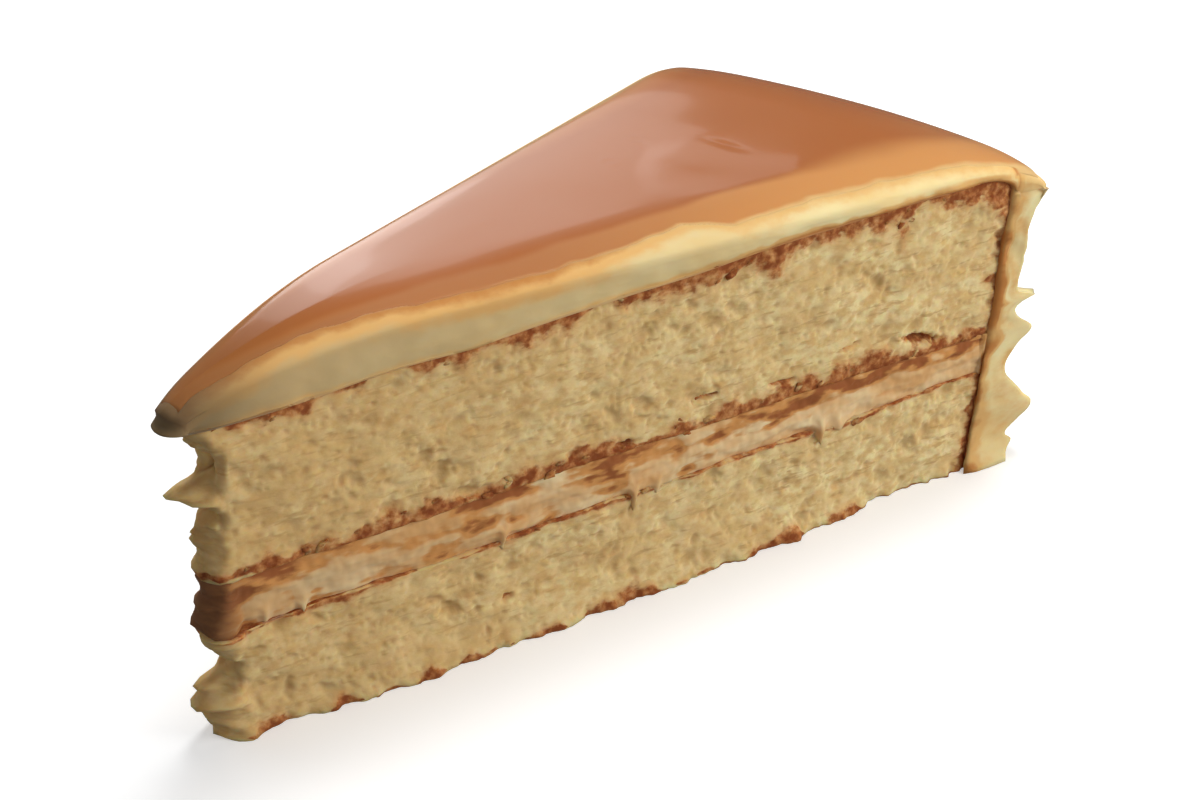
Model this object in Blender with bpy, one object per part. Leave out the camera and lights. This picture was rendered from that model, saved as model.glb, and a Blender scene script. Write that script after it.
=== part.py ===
"""One slice of a round honey cake, as cut from a ten inch cake that makes twelve slices.

Two sponge layers with a cream filling between them, cream icing over the top and down the outer
side, and a honey glaze on the top. Metres, +Z up. +X runs along the middle of the slice from its tip
to its outer side, and the origin is on the base, midway along the slice.
"""

import math
from dataclasses import dataclass

import bmesh
import bpy
from mathutils import Vector, noise

MM = 0.001

# The cake that the slice is cut from
SLICES_PER_CAKE = 12
HALF_ANGLE = math.pi / SLICES_PER_CAKE
SPONGE_RADIUS = 117.8 * MM
ICED_RADIUS = 124.2 * MM
FLARE_PER_METRE = 0.65
ORIGIN_FROM_CAKE_CENTRE = 66.0 * MM

# Heights of the layers above the base, at the cake's centre and at its rim
LOWER_SPONGE_TOP = (15.2 * MM, 15.6 * MM)
UPPER_SPONGE_BOTTOM = (22.4 * MM, 22.0 * MM)
UPPER_SPONGE_TOP = (43.0 * MM, 46.2 * MM)
GLAZED_TOP = (51.6 * MM, 49.4 * MM)
LAYER_GAP = 0.35 * MM

# The tip of the slice: the cuts meet a little beside the cake's centre, and leave a blunt end
TIP_SIDE = 1.9 * MM
TIP_BULGE = 1.6 * MM
SPONGE_TIP = 1.2 * MM
FILLING_TIP = 0.9 * MM
ICING_TIP = -2.0 * MM
SPONGE_TIP_HALF_WIDTH = 2.65 * MM
ICING_TIP_HALF_WIDTH = 2.45 * MM
ICING_OUTSET = 0.7 * MM
FILLING_OUTSET = 0.3 * MM

# The rounded top: how wide each shoulder and droop is, and how far it drops
CUT_SHOULDER = (7.0 * MM, 1.7 * MM)
RIM_SHOULDER = (18.0 * MM, 5.4 * MM)
SPONGE_RIM_SHOULDER = (7.0 * MM, 3.3 * MM)
TIP_DROOP = (30.0 * MM, 5.0 * MM)
NOSE_DROOP = (7.0 * MM, 1.4 * MM)
NOSE_OVERHANG = (2.6 * MM, 1.2 * MM)

# The glaze, which thins out towards its edge. The cream comes up level with it over a short ramp
GLAZE_THICKNESS = 1.6 * MM
GLAZE_EDGE_THICKNESS = 0.6 * MM
GLAZE_TAPER = 6.0 * MM
COVER_RAMP = 0.04 * MM

# Relief of the crumb, and how much rougher it is at the broken tip
CRAG_SIZE = 8.0 * MM
CRAG_DEPTH = 0.7 * MM
PIT_SIZE = 5.0 * MM
PIT_DEPTH = 1.1 * MM
TIP_RAGGEDNESS = 1.7
TIP_REACH = 9.0 * MM
RIM_REACH = 4.0 * MM
LAYER_WAVE_SIZE = 17.0 * MM
LAYER_WAVE_HEIGHT = 0.55 * MM
FILLING_BULGE = 0.35 * MM
FILLING_BULGE_SIZE = 7.0 * MM

# Spacing of the mesh along the slice, across it and up its walls
SPONGE_ROWS = 46
CREAM_ROWS = 34
NOSE_ROW = 0.022
RIM_ROWS = (0.935, 0.97, 1.0)
SIDE_ROWS = (1.5, 2.0)
WALL_STEP = 2.0 * MM
SKIRT_STEP = 1.4 * MM
SPONGE_ACROSS = (-1.0, -0.86, -0.5, 0.0, 0.5, 0.86, 1.0)
CREAM_ACROSS = (-1.0, -0.95, -0.87, -0.74, -0.5, -0.18, 0.18, 0.5, 0.74, 0.87, 0.95, 1.0)


@dataclass(frozen=True)
class Ridge:
    """A ridge that runs level along a wall, at a height, with a reach outwards. A hollow reaches inwards."""

    height: float
    reach: float
    width: float

    def at(self, height):
        """How far the ridge moves the wall at a height."""
        offset = (height - self.height) / self.width
        return self.reach * math.exp(-offset * offset)


# The palette knife's ridges on the iced side, and how far it lies back between them
SIDE_RIDGES = (
    Ridge(41.6 * MM, 1.8 * MM, 1.4 * MM),
    Ridge(27.0 * MM, 3.4 * MM, 1.4 * MM),
    Ridge(21.0 * MM, 4.2 * MM, 2.4 * MM),
    Ridge(8.0 * MM, 7.6 * MM, 3.2 * MM),
    Ridge(1.6 * MM, 3.4 * MM, 2.2 * MM),
)
SIDE_HOLLOW_DEPTH = 2.6 * MM
RIDGE_WANDER = 1.6 * MM
RIDGE_WANDER_SIZE = 16.0 * MM
RIDGE_SWELL = 0.4

# The steps, hollows and points that are left where the tip broke
TIP_RIDGES = (
    Ridge(44.0 * MM, 0.6 * MM, 1.6 * MM),
    Ridge(39.4 * MM, -1.3 * MM, 1.4 * MM),
    Ridge(36.0 * MM, 2.8 * MM, 1.4 * MM),
    Ridge(32.6 * MM, -0.8 * MM, 1.6 * MM),
    Ridge(18.4 * MM, 2.4 * MM, 4.2 * MM),
    Ridge(12.8 * MM, -1.6 * MM, 1.4 * MM),
    Ridge(9.4 * MM, 3.6 * MM, 2.6 * MM),
)


@dataclass(frozen=True)
class Peak:
    """A peak of filling that the knife pulled out of a cut face, by its distance from the cake's centre."""

    distance: float
    side: int
    reach: float
    width: float


FILLING_PEAKS = (
    Peak(19.0 * MM, -1, 1.0 * MM, 4.5 * MM),
    Peak(62.0 * MM, -1, 1.6 * MM, 4.0 * MM),
    Peak(92.0 * MM, -1, 2.0 * MM, 5.0 * MM),
    Peak(45.0 * MM, 1, 1.3 * MM, 4.5 * MM),
    Peak(83.0 * MM, 1, 1.5 * MM, 5.0 * MM),
)


@dataclass(frozen=True)
class Plan:
    """A layer's outline from above: a sector with a blunt tip, between two straight cut sides.

    u runs from 0 at the tip to 1 at the rim, and on to 2 at an outer rim where there is one. v runs
    from -1 at the cut side that faces -Y to 1 at the other.
    """

    rim_radius: float
    tip: float
    tip_half_width: float
    outset: float = 0.0
    outer_radius: float = 0.0

    def tip_point(self, v):
        """A point of the blunt tip, in the cake's own plan."""
        bearing = v * math.pi / 2
        back = TIP_BULGE * (1 - math.cos(bearing))
        return Vector((self.tip + back, TIP_SIDE + self.tip_half_width * math.sin(bearing)))

    def rim_point(self, v, radius):
        """A point of the rim at a radius, in the cake's own plan."""
        bearing = v * (HALF_ANGLE + math.asin(self.outset / radius))
        return Vector((radius * math.cos(bearing), radius * math.sin(bearing)))

    def point(self, u, v):
        """A point of the layer, in the cake's own plan."""
        rim = self.rim_point(v, self.rim_radius)
        if u <= 1:
            return self.tip_point(v).lerp(rim, u)
        return rim.lerp(self.rim_point(v, self.outer_radius), u - 1)

    def distance_inside(self, place, side):
        """Distance inside the cut side at v = side."""
        start = self.tip_point(side)
        along = (self.rim_point(side, self.rim_radius) - start).normalized()
        offset = place - start
        return side * (along.y * offset.x - along.x * offset.y)


SPONGE = Plan(SPONGE_RADIUS, SPONGE_TIP, SPONGE_TIP_HALF_WIDTH)
FILLING = Plan(SPONGE_RADIUS, FILLING_TIP, SPONGE_TIP_HALF_WIDTH, FILLING_OUTSET)
ICING = Plan(SPONGE_RADIUS + 2.5 * LAYER_GAP, ICING_TIP, ICING_TIP_HALF_WIDTH, ICING_OUTSET, ICED_RADIUS)


def blend(pair, place):
    """The height between a pair of heights, centre and rim, over a place in the cake's plan."""
    share = min(1.0, place.length / ICED_RADIUS)
    return pair[0] + (pair[1] - pair[0]) * share


def layer_wave(place, seed):
    """How far an uneven layer's face rises over a place."""
    return LAYER_WAVE_HEIGHT * noise.noise(Vector((place.x, place.y, seed * LAYER_WAVE_SIZE)) / LAYER_WAVE_SIZE)


def lower_sponge_top(place):
    """Height of the lower sponge's top face."""
    return blend(LOWER_SPONGE_TOP, place) + layer_wave(place, 1.3)


def upper_sponge_bottom(place):
    """Height of the upper sponge's bottom face."""
    return blend(UPPER_SPONGE_BOTTOM, place) + layer_wave(place, 2.7)


def upper_sponge_top(place):
    """Height of the upper sponge's top face."""
    height = blend(UPPER_SPONGE_TOP, place) + layer_wave(place, 4.1)
    return height - shoulder(SPONGE_RADIUS - place.length, SPONGE_RIM_SHOULDER)


def shoulder(distance, size):
    """How far a rounded shoulder has dropped at a distance inside its edge."""
    width, drop = size
    inward = 1 - min(1.0, max(0.0, distance / width))
    return drop * (1 - math.sqrt(1 - inward * inward))


def cut_distance(place):
    """Distance inside the nearer cut side of the icing."""
    return min(ICING.distance_inside(place, -1), ICING.distance_inside(place, 1))


def crown(place):
    """Height of the finished top: a flat middle that rounds down to the cuts, the rim and the tip."""
    height = blend(GLAZED_TOP, place) - droop(place, TIP_DROOP) - droop(place, NOSE_DROOP)
    height -= shoulder(cut_distance(place), CUT_SHOULDER)
    return height - shoulder(ICED_RADIUS - place.length, RIM_SHOULDER)


def droop(place, size):
    """How far the icing has sunk towards its tip, by a droop's width and drop."""
    width, drop = size
    near_tip = 1 - min(1.0, (place.x - ICING_TIP) / width)
    return drop * near_tip * near_tip


def glaze_depth(place):
    """Thickness of the glaze over a place, from its thin edge to the middle."""
    share = max(0.0, min(1.0, cut_distance(place) / GLAZE_TAPER))
    return GLAZE_EDGE_THICKNESS + (GLAZE_THICKNESS - GLAZE_EDGE_THICKNESS) * share


def under_glaze(place):
    """Height of the glaze's underside."""
    return crown(place) - glaze_depth(place)


def glaze_cover(place):
    """1 where the glaze covers the icing, falling to 0 at the icing's own cut edges and outer side."""
    beyond = (place.length - ICING.rim_radius) / (0.5 * (ICED_RADIUS - ICING.rim_radius))
    return max(0.0, min(1.0, cut_distance(place) / COVER_RAMP, 1 - beyond))


def icing_top(place):
    """Height of the cream, which lies under the glaze and comes up level with it at its edges."""
    return crown(place) - (glaze_depth(place) + LAYER_GAP) * glaze_cover(place)


def under_icing(place):
    """Height of the icing's underside on the sponge, and of its nose past the sponge's tip."""
    return upper_sponge_top(place) + LAYER_GAP - droop(place, NOSE_OVERHANG)


def even_steps(count):
    """Values from 0 to 1 in equal steps."""
    return [i / count for i in range(count + 1)]


def cream_rows():
    """Rows along the slice for icing and glaze, closer together at the nose and on the rim's shoulder."""
    return [0.0, NOSE_ROW] + even_steps(CREAM_ROWS)[1 : -len(RIM_ROWS)] + list(RIM_ROWS)


def wall_points(mesh):
    """The vertices of the mesh's upright faces."""
    upright = [face for face in mesh.faces if abs(face.normal.z) < 0.5]
    return {vertex for face in upright for vertex in face.verts}


def slab(plan, rows, across, bottom, top, levels):
    """A layer between two height functions, as a bmesh in the cake's own plan.

    A flat grid is thickened to a block, its points are moved to their places in the plan, and its
    walls get as many levels as asked for. Faces are split along their shorter diagonal, so that two
    layers that meet follow each other and keep their gap.
    """
    mesh = bmesh.new()
    bmesh.ops.create_grid(mesh, x_segments=len(rows) - 1, y_segments=len(across) - 1, size=1)
    raised = bmesh.ops.extrude_face_region(mesh, geom=list(mesh.faces))["geom"]
    upper = {item for item in raised if isinstance(item, bmesh.types.BMVert)}
    walls = [edge for edge in mesh.edges if (edge.verts[0] in upper) != (edge.verts[1] in upper)]
    for vertex in mesh.verts:
        row = round((vertex.co.x + 1) / 2 * (len(rows) - 1))
        column = round((vertex.co.y + 1) / 2 * (len(across) - 1))
        place = plan.point(rows[row], across[column])
        height = top(place) if vertex in upper else bottom(place)
        vertex.co = Vector((place.x, place.y, height))
    bmesh.ops.subdivide_edges(mesh, edges=walls, cuts=levels - 1, use_grid_fill=True)
    bmesh.ops.triangulate(mesh, faces=mesh.faces, quad_method="SHORT_EDGE")
    bmesh.ops.recalc_face_normals(mesh, faces=mesh.faces)
    return mesh


def push_walls(mesh, relief, chosen=None, radial=False):
    """Moves wall points outwards by relief(point), level with the base.

    Outwards is along a point's own normal, or away from the cake's centre where radial is set.
    """
    mesh.normal_update()
    moves = {}
    for vertex in chosen or wall_points(mesh):
        source = vertex.co if radial else vertex.normal
        outward = Vector((source.x, source.y, 0))
        if outward.length > 1e-6:
            moves[vertex] = outward.normalized() * relief(vertex.co)
    for vertex, move in moves.items():
        vertex.co += move


def crumb_relief(point):
    """Crags and pits of a cut sponge, rougher at the broken tip. Negative is inwards."""
    crag = noise.noise(point / CRAG_SIZE) + 0.5 * noise.noise(point / (0.4 * CRAG_SIZE))
    pit_distance = noise.voronoi(point / PIT_SIZE)[0][0]
    pit = max(0.0, 0.45 - pit_distance) / 0.45
    near_tip = max(0.0, 1 - max(0.0, point.x - SPONGE_TIP) / TIP_REACH)
    rough = 1 + (TIP_RAGGEDNESS - 1) * near_tip
    near_rim = max(0.0, 1 - max(0.0, SPONGE_RADIUS - point.to_2d().length) / RIM_REACH)
    calm = 1 - 0.8 * near_rim
    return (CRAG_DEPTH * crag * rough - PIT_DEPTH * pit) * calm + tip_relief(point)


def tip_relief(point):
    """The broken steps and points of the tip, which fade out along the cut sides."""
    near_tip = max(0.0, 1 - max(0.0, point.x - SPONGE_TIP) / TIP_BULGE)
    return near_tip * sum(ridge.at(point.z) for ridge in TIP_RIDGES)


def filling_relief(point):
    """Soft bulges of the filling, and the peaks that the knife pulled out."""
    bulge = FILLING_BULGE * noise.noise(point / FILLING_BULGE_SIZE)
    middle = (LOWER_SPONGE_TOP[0] + UPPER_SPONGE_BOTTOM[0]) / 2
    upright = 1 - min(1.0, abs(point.z - middle) / (UPPER_SPONGE_BOTTOM[0] - middle))
    for peak in FILLING_PEAKS:
        along = abs(point.to_2d().length - peak.distance) / peak.width
        if along < 1 and point.y * peak.side > 0:
            bulge += peak.reach * (1 - along) ** 2 * upright
    return bulge + tip_relief(point)


def ridge_relief(point):
    """The palette knife's ridges and hollows along the iced side."""
    near_corner = -ICED_RADIUS * math.sin(HALF_ANGLE + ICING_OUTSET / ICED_RADIUS)
    along = Vector((point.y - near_corner, 0.0, 0.0)) / RIDGE_WANDER_SIZE
    height = point.z + RIDGE_WANDER * noise.noise(along)
    reach = -SIDE_HOLLOW_DEPTH
    for index, ridge in enumerate(SIDE_RIDGES):
        reach += ridge.at(height) * (1 + RIDGE_SWELL * noise.noise(along + Vector((0, 3 * index, 1))))
    return reach


def icing_mesh():
    """The icing: a slab over the sponge, with a skirt drawn down the outer side to the base.

    Each column of the skirt goes from its own height under the slab to the base in equal steps.
    """
    mesh = slab(ICING, cream_rows() + list(SIDE_ROWS), CREAM_ACROSS, under_icing, icing_top, 3)
    inside = ICING.rim_radius - LAYER_GAP
    band = [
        face
        for face in mesh.faces
        if face.normal.z < -0.5 and all(v.co.to_2d().length > inside for v in face.verts)
    ]
    steps = round(UPPER_SPONGE_TOP[0] / SKIRT_STEP)
    start = {}
    for step in range(1, steps + 1):
        grown = bmesh.ops.extrude_face_region(mesh, geom=band)["geom"]
        bmesh.ops.delete(mesh, geom=band, context="FACES_ONLY")
        band = [item for item in grown if isinstance(item, bmesh.types.BMFace)]
        for vertex in (item for item in grown if isinstance(item, bmesh.types.BMVert)):
            key = (round(vertex.co.x, 7), round(vertex.co.y, 7))
            start.setdefault(key, vertex.co.z)
            vertex.co.z = start[key] * (1 - step / steps)
    outside = ICED_RADIUS - LAYER_GAP
    outer = [vertex for vertex in mesh.verts if vertex.co.to_2d().length > outside]
    push_walls(mesh, ridge_relief, outer, radial=True)
    return mesh


def glaze_mesh():
    """The glaze: a thin slab on the icing, one mesh row inside its cuts, that ends on the rim's shoulder."""
    return slab(ICING, cream_rows()[1:], CREAM_ACROSS[1:-1], under_glaze, crown, 1)


def sponge_mesh(bottom, top):
    """A sponge layer with its cut, broken and baked sides."""
    thickness = top(SPONGE.tip_point(0)) - bottom(SPONGE.tip_point(0))
    mesh = slab(SPONGE, even_steps(SPONGE_ROWS), SPONGE_ACROSS, bottom, top, round(thickness / WALL_STEP))
    push_walls(mesh, crumb_relief)
    return mesh


def filling_mesh():
    """The cream between the sponges, with its bulges and pulled peaks."""
    mesh = slab(FILLING, even_steps(SPONGE_ROWS), SPONGE_ACROSS, under_filling, over_filling, 3)
    cut_walls = [v for v in wall_points(mesh) if v.co.to_2d().length < SPONGE_RADIUS - MM]
    push_walls(mesh, filling_relief, cut_walls)
    return mesh


def under_filling(place):
    """Height of the filling's underside."""
    return lower_sponge_top(place) + LAYER_GAP


def over_filling(place):
    """Height of the filling's top."""
    return upper_sponge_bottom(place) - LAYER_GAP


def base(_place):
    """Height of the flat base."""
    return 0.0


def material(name, colour, roughness):
    """A Principled material of one colour."""
    made = bpy.data.materials.new(name)
    made.use_nodes = True
    shader = made.node_tree.nodes["Principled BSDF"]
    shader.inputs["Base Color"].default_value = (*colour, 1)
    shader.inputs["Roughness"].default_value = roughness
    shader.inputs["Metallic"].default_value = 0
    return made


def add_piece(name, mesh, finish):
    """Puts a bmesh made in the cake's plan into the scene, in the slice's own frame.

    The cake widens a little towards its top, as its tins did.
    """
    for vertex in mesh.verts:
        flare = 1 + FLARE_PER_METRE * vertex.co.z
        vertex.co.x = vertex.co.x * flare - ORIGIN_FROM_CAKE_CENTRE
        vertex.co.y *= flare
    bmesh.ops.recalc_face_normals(mesh, faces=mesh.faces)
    data = bpy.data.meshes.new(name)
    mesh.to_mesh(data)
    mesh.free()
    data.materials.append(finish)
    piece = bpy.data.objects.new(name, data)
    bpy.context.scene.collection.objects.link(piece)
    return piece


def main():
    """Clears the scene and builds the slice."""
    for item in list(bpy.data.objects):
        bpy.data.objects.remove(item)
    crumb = material("crumb", (0.62, 0.45, 0.20), 0.9)
    cream = material("cream", (0.74, 0.64, 0.33), 0.45)
    honey = material("honey", (0.45, 0.15, 0.04), 0.15)
    add_piece("sponge_lower", sponge_mesh(base, lower_sponge_top), crumb)
    add_piece("cream_filling", filling_mesh(), cream)
    add_piece("sponge_upper", sponge_mesh(upper_sponge_bottom, upper_sponge_top), crumb)
    add_piece("cream_icing", icing_mesh(), cream)
    add_piece("honey_glaze", glaze_mesh(), honey)


main()
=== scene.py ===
"""The looks of a honey cake slice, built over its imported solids.

Every piece stands for one solid, or clings to one, and keeps its form: two sponge layers with an open
crumb and browned faces, the cream between them, the cream over the top and the outer side, and the
honey glaze. Metres, +Z up. +X runs from the slice's tip to its outer side.
"""

import logging
import math
from collections.abc import Callable
from dataclasses import dataclass, field
from enum import Enum

import bmesh
import bpy
import numpy as np
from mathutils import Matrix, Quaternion, Vector, kdtree, noise


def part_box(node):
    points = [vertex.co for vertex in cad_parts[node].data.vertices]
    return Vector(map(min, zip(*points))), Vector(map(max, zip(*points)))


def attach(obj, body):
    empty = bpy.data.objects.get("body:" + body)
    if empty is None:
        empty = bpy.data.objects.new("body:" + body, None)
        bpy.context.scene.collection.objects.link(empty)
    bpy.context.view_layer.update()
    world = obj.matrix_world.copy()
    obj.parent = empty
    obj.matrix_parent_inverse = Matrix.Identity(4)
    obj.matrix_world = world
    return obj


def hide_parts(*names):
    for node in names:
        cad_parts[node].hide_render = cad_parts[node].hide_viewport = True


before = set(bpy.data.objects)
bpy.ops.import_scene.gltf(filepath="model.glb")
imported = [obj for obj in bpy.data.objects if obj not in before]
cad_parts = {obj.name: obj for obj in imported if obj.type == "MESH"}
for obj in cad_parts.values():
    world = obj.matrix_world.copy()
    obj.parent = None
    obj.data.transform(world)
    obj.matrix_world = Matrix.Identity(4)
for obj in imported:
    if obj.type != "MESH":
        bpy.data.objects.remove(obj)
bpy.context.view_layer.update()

MM = 0.001
BODY = "root"
# Shares this near to 1 lie on a cut side, and this near to 0 or 1 on the tip or the rim.
SIDE = 1e-3
END = 1e-4
LOG = logging.getLogger("honey_cake")

Colour = tuple[float, float, float]
Triple = tuple[float, float, float]
Range = tuple[float, float]


class Axis(Enum):
    """A direction of a layer's grid."""

    ALONG = 0
    ACROSS = 1
    UP = 2


class Side(Enum):
    """A cut side of the slice, by the sign of its Y."""

    NEAR = -1
    FAR = 1


class Face(Enum):
    """A baked face of a sponge layer."""

    TOP = "top"
    BOTTOM = "bottom"


@dataclass(frozen=True)
class Cake:
    """The whole cake that the slice is cut from.

    A layer's face has a height at the centre and one at the rim. A shoulder, an edge, a droop or a
    lift has a width and a height, and the swell is a table of places and heights.
    """

    half_angle: float = math.pi / 12
    origin: float = 66.0 * MM
    sponge_radius: float = 117.8 * MM
    iced_radius: float = 124.2 * MM
    flare: float = 0.65
    gap: float = 0.35 * MM
    tip_side: float = 1.9 * MM
    tip_bulge: float = 1.6 * MM
    lower_sponge_top: Range = (15.2 * MM, 15.6 * MM)
    upper_sponge_bottom: Range = (22.4 * MM, 22.0 * MM)
    upper_sponge_top: Range = (43.0 * MM, 46.2 * MM)
    glazed_top: Range = (51.6 * MM, 49.4 * MM)
    cut_shoulder: Range = (11.0 * MM, 1.8 * MM)
    soft_edge: Range = (2.2 * MM, 0.7 * MM)
    rim_shoulder: Range = (18.0 * MM, 5.4 * MM)
    sponge_rim_shoulder: Range = (7.0 * MM, 3.3 * MM)
    far_shoulder: float = 0.5
    far_change: float = 9.0 * MM
    tip_droop: Range = (30.0 * MM, 4.7 * MM)
    nose_droop: Range = (5.0 * MM, 0.7 * MM)
    nose_lift: Range = (5.0 * MM, 0.5 * MM)
    swell: tuple[Range, ...] = (
        (30.0 * MM, 0.0 * MM),
        (46.0 * MM, 0.4 * MM),
        (67.0 * MM, 0.8 * MM),
        (83.0 * MM, 0.8 * MM),
        (97.0 * MM, 1.0 * MM),
        (108.0 * MM, 0.9 * MM),
        (118.0 * MM, 0.5 * MM),
    )
    wave_size: float = 17.0 * MM
    wave_height: float = 0.55 * MM

    def blend(self, pair: Range, x: np.ndarray, y: np.ndarray) -> np.ndarray:
        """Height between a centre and a rim height over places in the cake's plan."""
        share = np.minimum(1.0, np.hypot(x, y) / self.iced_radius)
        return pair[0] + (pair[1] - pair[0]) * share

    def wave(self, x: np.ndarray, y: np.ndarray, seed: float) -> np.ndarray:
        """How far an uneven layer's face rises over places in the cake's plan."""
        points = np.column_stack([x, y, np.full_like(x, seed * self.wave_size)])
        return self.wave_height * noise_at(points, self.wave_size)

    def top_of_lower_sponge(self, x: np.ndarray, y: np.ndarray) -> np.ndarray:
        """Height of the lower sponge's top face."""
        return self.blend(self.lower_sponge_top, x, y) + self.wave(x, y, 1.3)

    def bottom_of_upper_sponge(self, x: np.ndarray, y: np.ndarray) -> np.ndarray:
        """Height of the upper sponge's bottom face."""
        return self.blend(self.upper_sponge_bottom, x, y) + self.wave(x, y, 2.7)

    def top_of_upper_sponge(self, x: np.ndarray, y: np.ndarray) -> np.ndarray:
        """Height of the upper sponge's top face, which rounds off at the rim.

        Args:
            x: Places along the cake's plan, from its centre.
            y: Places across it.

        Returns:
            One height for each place.
        """
        height = self.blend(self.upper_sponge_top, x, y) + self.wave(x, y, 4.1)
        height += np.interp(x, *zip(*self.swell))
        return height - shoulder(self.sponge_radius - np.hypot(x, y), self.sponge_rim_shoulder)

    def crown(self, x: np.ndarray, y: np.ndarray) -> np.ndarray:
        """Height of the finished top: flat in the middle, round at the cuts, the rim and the tip.

        Args:
            x: Places along the cake's plan, from its centre.
            y: Places across it.

        Returns:
            One height for each place.
        """
        height = self.blend(self.glazed_top, x, y)
        height = height - self.droop(x, self.tip_droop) - self.droop(x, self.nose_droop)
        inside = ICING.inside(x, y)
        round_off = shoulder(inside, self.cut_shoulder) + shoulder(inside, self.soft_edge)
        height -= round_off * (1 - self.far_shoulder * smooth_step((y - self.tip_side) / self.far_change))
        return height - shoulder(self.iced_radius - np.hypot(x, y), self.rim_shoulder)

    def under_icing(self, x: np.ndarray, y: np.ndarray) -> np.ndarray:
        """Height of the icing's underside, and of its nose past the sponge's tip."""
        return self.top_of_upper_sponge(x, y) + self.droop(x, self.nose_lift)

    @staticmethod
    def droop(x: np.ndarray, size: Range) -> np.ndarray:
        """How far the icing has sunk towards its tip, by a droop's width and drop."""
        width, drop = size
        return drop * (1 - np.minimum(1.0, (x - ICING.tip) / width)) ** 2

    def to_slice(self, x: np.ndarray, y: np.ndarray, z: np.ndarray) -> np.ndarray:
        """Points of the slice's own frame, with the flare that the tins gave the cake."""
        widen = 1 + self.flare * z
        return np.column_stack([x * widen - self.origin, y * widen, z])


CAKE = Cake()


@dataclass(frozen=True)
class Plan:
    """A layer's outline from above: a sector with a blunt tip, between two straight cut sides.

    u runs from 0 at the tip to 1 at the rim, and on to 2 at an outer rim where there is one. v runs
    from -1 at the near cut side to 1 at the far one.
    """

    rim_radius: float
    tip: float
    tip_half_width: float
    outset: float = 0.0
    outer_radius: float = 0.0

    def place(self, u: np.ndarray, v: np.ndarray) -> tuple[np.ndarray, np.ndarray]:
        """Places in the cake's plan.

        Args:
            u: Shares of the way from the tip to the rim.
            v: Shares of the half width, signed by side.

        Returns:
            The x and the y of each place.
        """
        tip_bearing = v * math.pi / 2
        tip_x = self.tip + CAKE.tip_bulge * (1 - np.cos(tip_bearing))
        tip_y = CAKE.tip_side + self.tip_half_width * np.sin(tip_bearing)
        rim_bearing = v * (CAKE.half_angle + math.asin(self.outset / self.rim_radius))
        beyond = np.clip(u - 1, 0, 1) * max(0.0, self.outer_radius - self.rim_radius)
        radius = self.rim_radius + beyond
        share = np.clip(u, 0, 1)
        x = tip_x + (radius * np.cos(rim_bearing) - tip_x) * share
        y = tip_y + (radius * np.sin(rim_bearing) - tip_y) * share
        return x, y

    def inside(self, x: np.ndarray, y: np.ndarray) -> np.ndarray:
        """How far inside the nearer cut side places lie.

        Args:
            x: Places along the cake's plan, from its centre.
            y: Places across it.

        Returns:
            One distance for each place.
        """
        found = []
        for side in Side:
            one = np.array([float(side.value)])
            start = np.concatenate(self.place(np.array([0.0]), one))
            along = np.concatenate(self.place(np.array([1.0]), one)) - start
            along /= np.linalg.norm(along)
            found.append(side.value * (along[1] * (x - start[0]) - along[0] * (y - start[1])))
        return np.minimum(*found)


SPONGE = Plan(CAKE.sponge_radius, 1.2 * MM, 2.65 * MM)
FILLING = Plan(CAKE.sponge_radius, 0.9 * MM, 2.65 * MM, 0.3 * MM)
ICING = Plan(CAKE.sponge_radius - CAKE.gap, -2.0 * MM, 2.45 * MM, 0.7 * MM, CAKE.iced_radius)


def noise_at(points: np.ndarray, size: float, octaves: int = 1) -> np.ndarray:
    """Smooth noise between about -1 and 1.

    Args:
        points: Rows of x, y and z.
        size: Width of one bump.
        octaves: How many finer layers are added, each half as wide and half as strong.

    Returns:
        One value for each point.
    """
    scaled = points / size
    total = np.zeros(len(points))
    for octave in range(octaves):
        step = 2.0**octave
        total += np.array([noise.noise(Vector(p)) for p in scaled * step]) / step
    return total


def shoulder(distance: np.ndarray, size: Range) -> np.ndarray:
    """How far a rounded shoulder has dropped at distances inside its edge.

    Args:
        distance: The distances.
        size: The shoulder's width, and its drop at the edge.

    Returns:
        One drop for each distance.
    """
    width, drop = size
    inward = 1 - np.clip(distance / width, 0, 1)
    return drop * (1 - np.sqrt(1 - inward**2))


def smooth_step(value: np.ndarray) -> np.ndarray:
    """A value held between 0 and 1, with soft ends."""
    held = np.clip(value, 0, 1)
    return held * held * (3 - 2 * held)


def gathered(columns: np.ndarray) -> np.ndarray:
    """Shares across a layer, drawn closer together towards its cut sides."""
    return 0.5 * (columns + np.sin(columns * math.pi / 2))


def deselect_all() -> None:
    """Leaves edit mode and clears the selection, CAD nodes included."""
    if bpy.context.mode != "OBJECT":
        bpy.ops.object.mode_set(mode="OBJECT")
    bpy.ops.object.select_all(action="DESELECT")


def points_of(piece: bpy.types.Object) -> np.ndarray:
    """The piece's points.

    Args:
        piece: The piece.

    Returns:
        One point a row.
    """
    flat = np.empty(len(piece.data.vertices) * 3)
    piece.data.vertices.foreach_get("co", flat)
    return flat.reshape(-1, 3)


def set_points(piece: bpy.types.Object, points: np.ndarray) -> None:
    """Moves the piece's points."""
    piece.data.vertices.foreach_set("co", points.astype(np.float32).ravel())
    piece.data.update()


def level_normals(piece: bpy.types.Object) -> np.ndarray:
    """The piece's normals at its points, laid level and of length one.

    Args:
        piece: The piece, whose points are in place.

    Returns:
        One normal a row.
    """
    flat = np.empty(len(piece.data.vertices) * 3)
    piece.data.vertices.foreach_get("normal", flat)
    normals = flat.reshape(-1, 3)
    normals[:, 2] = 0
    return normals / np.maximum(1e-9, np.linalg.norm(normals, axis=1))[:, None]


def paint(piece: bpy.types.Object, name: str, values: np.ndarray) -> None:
    """Stores one value for each point, which the piece's finish reads."""
    layer = piece.data.attributes.new(name, "FLOAT", "POINT")
    layer.data.foreach_set("value", values.astype(np.float32))


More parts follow.
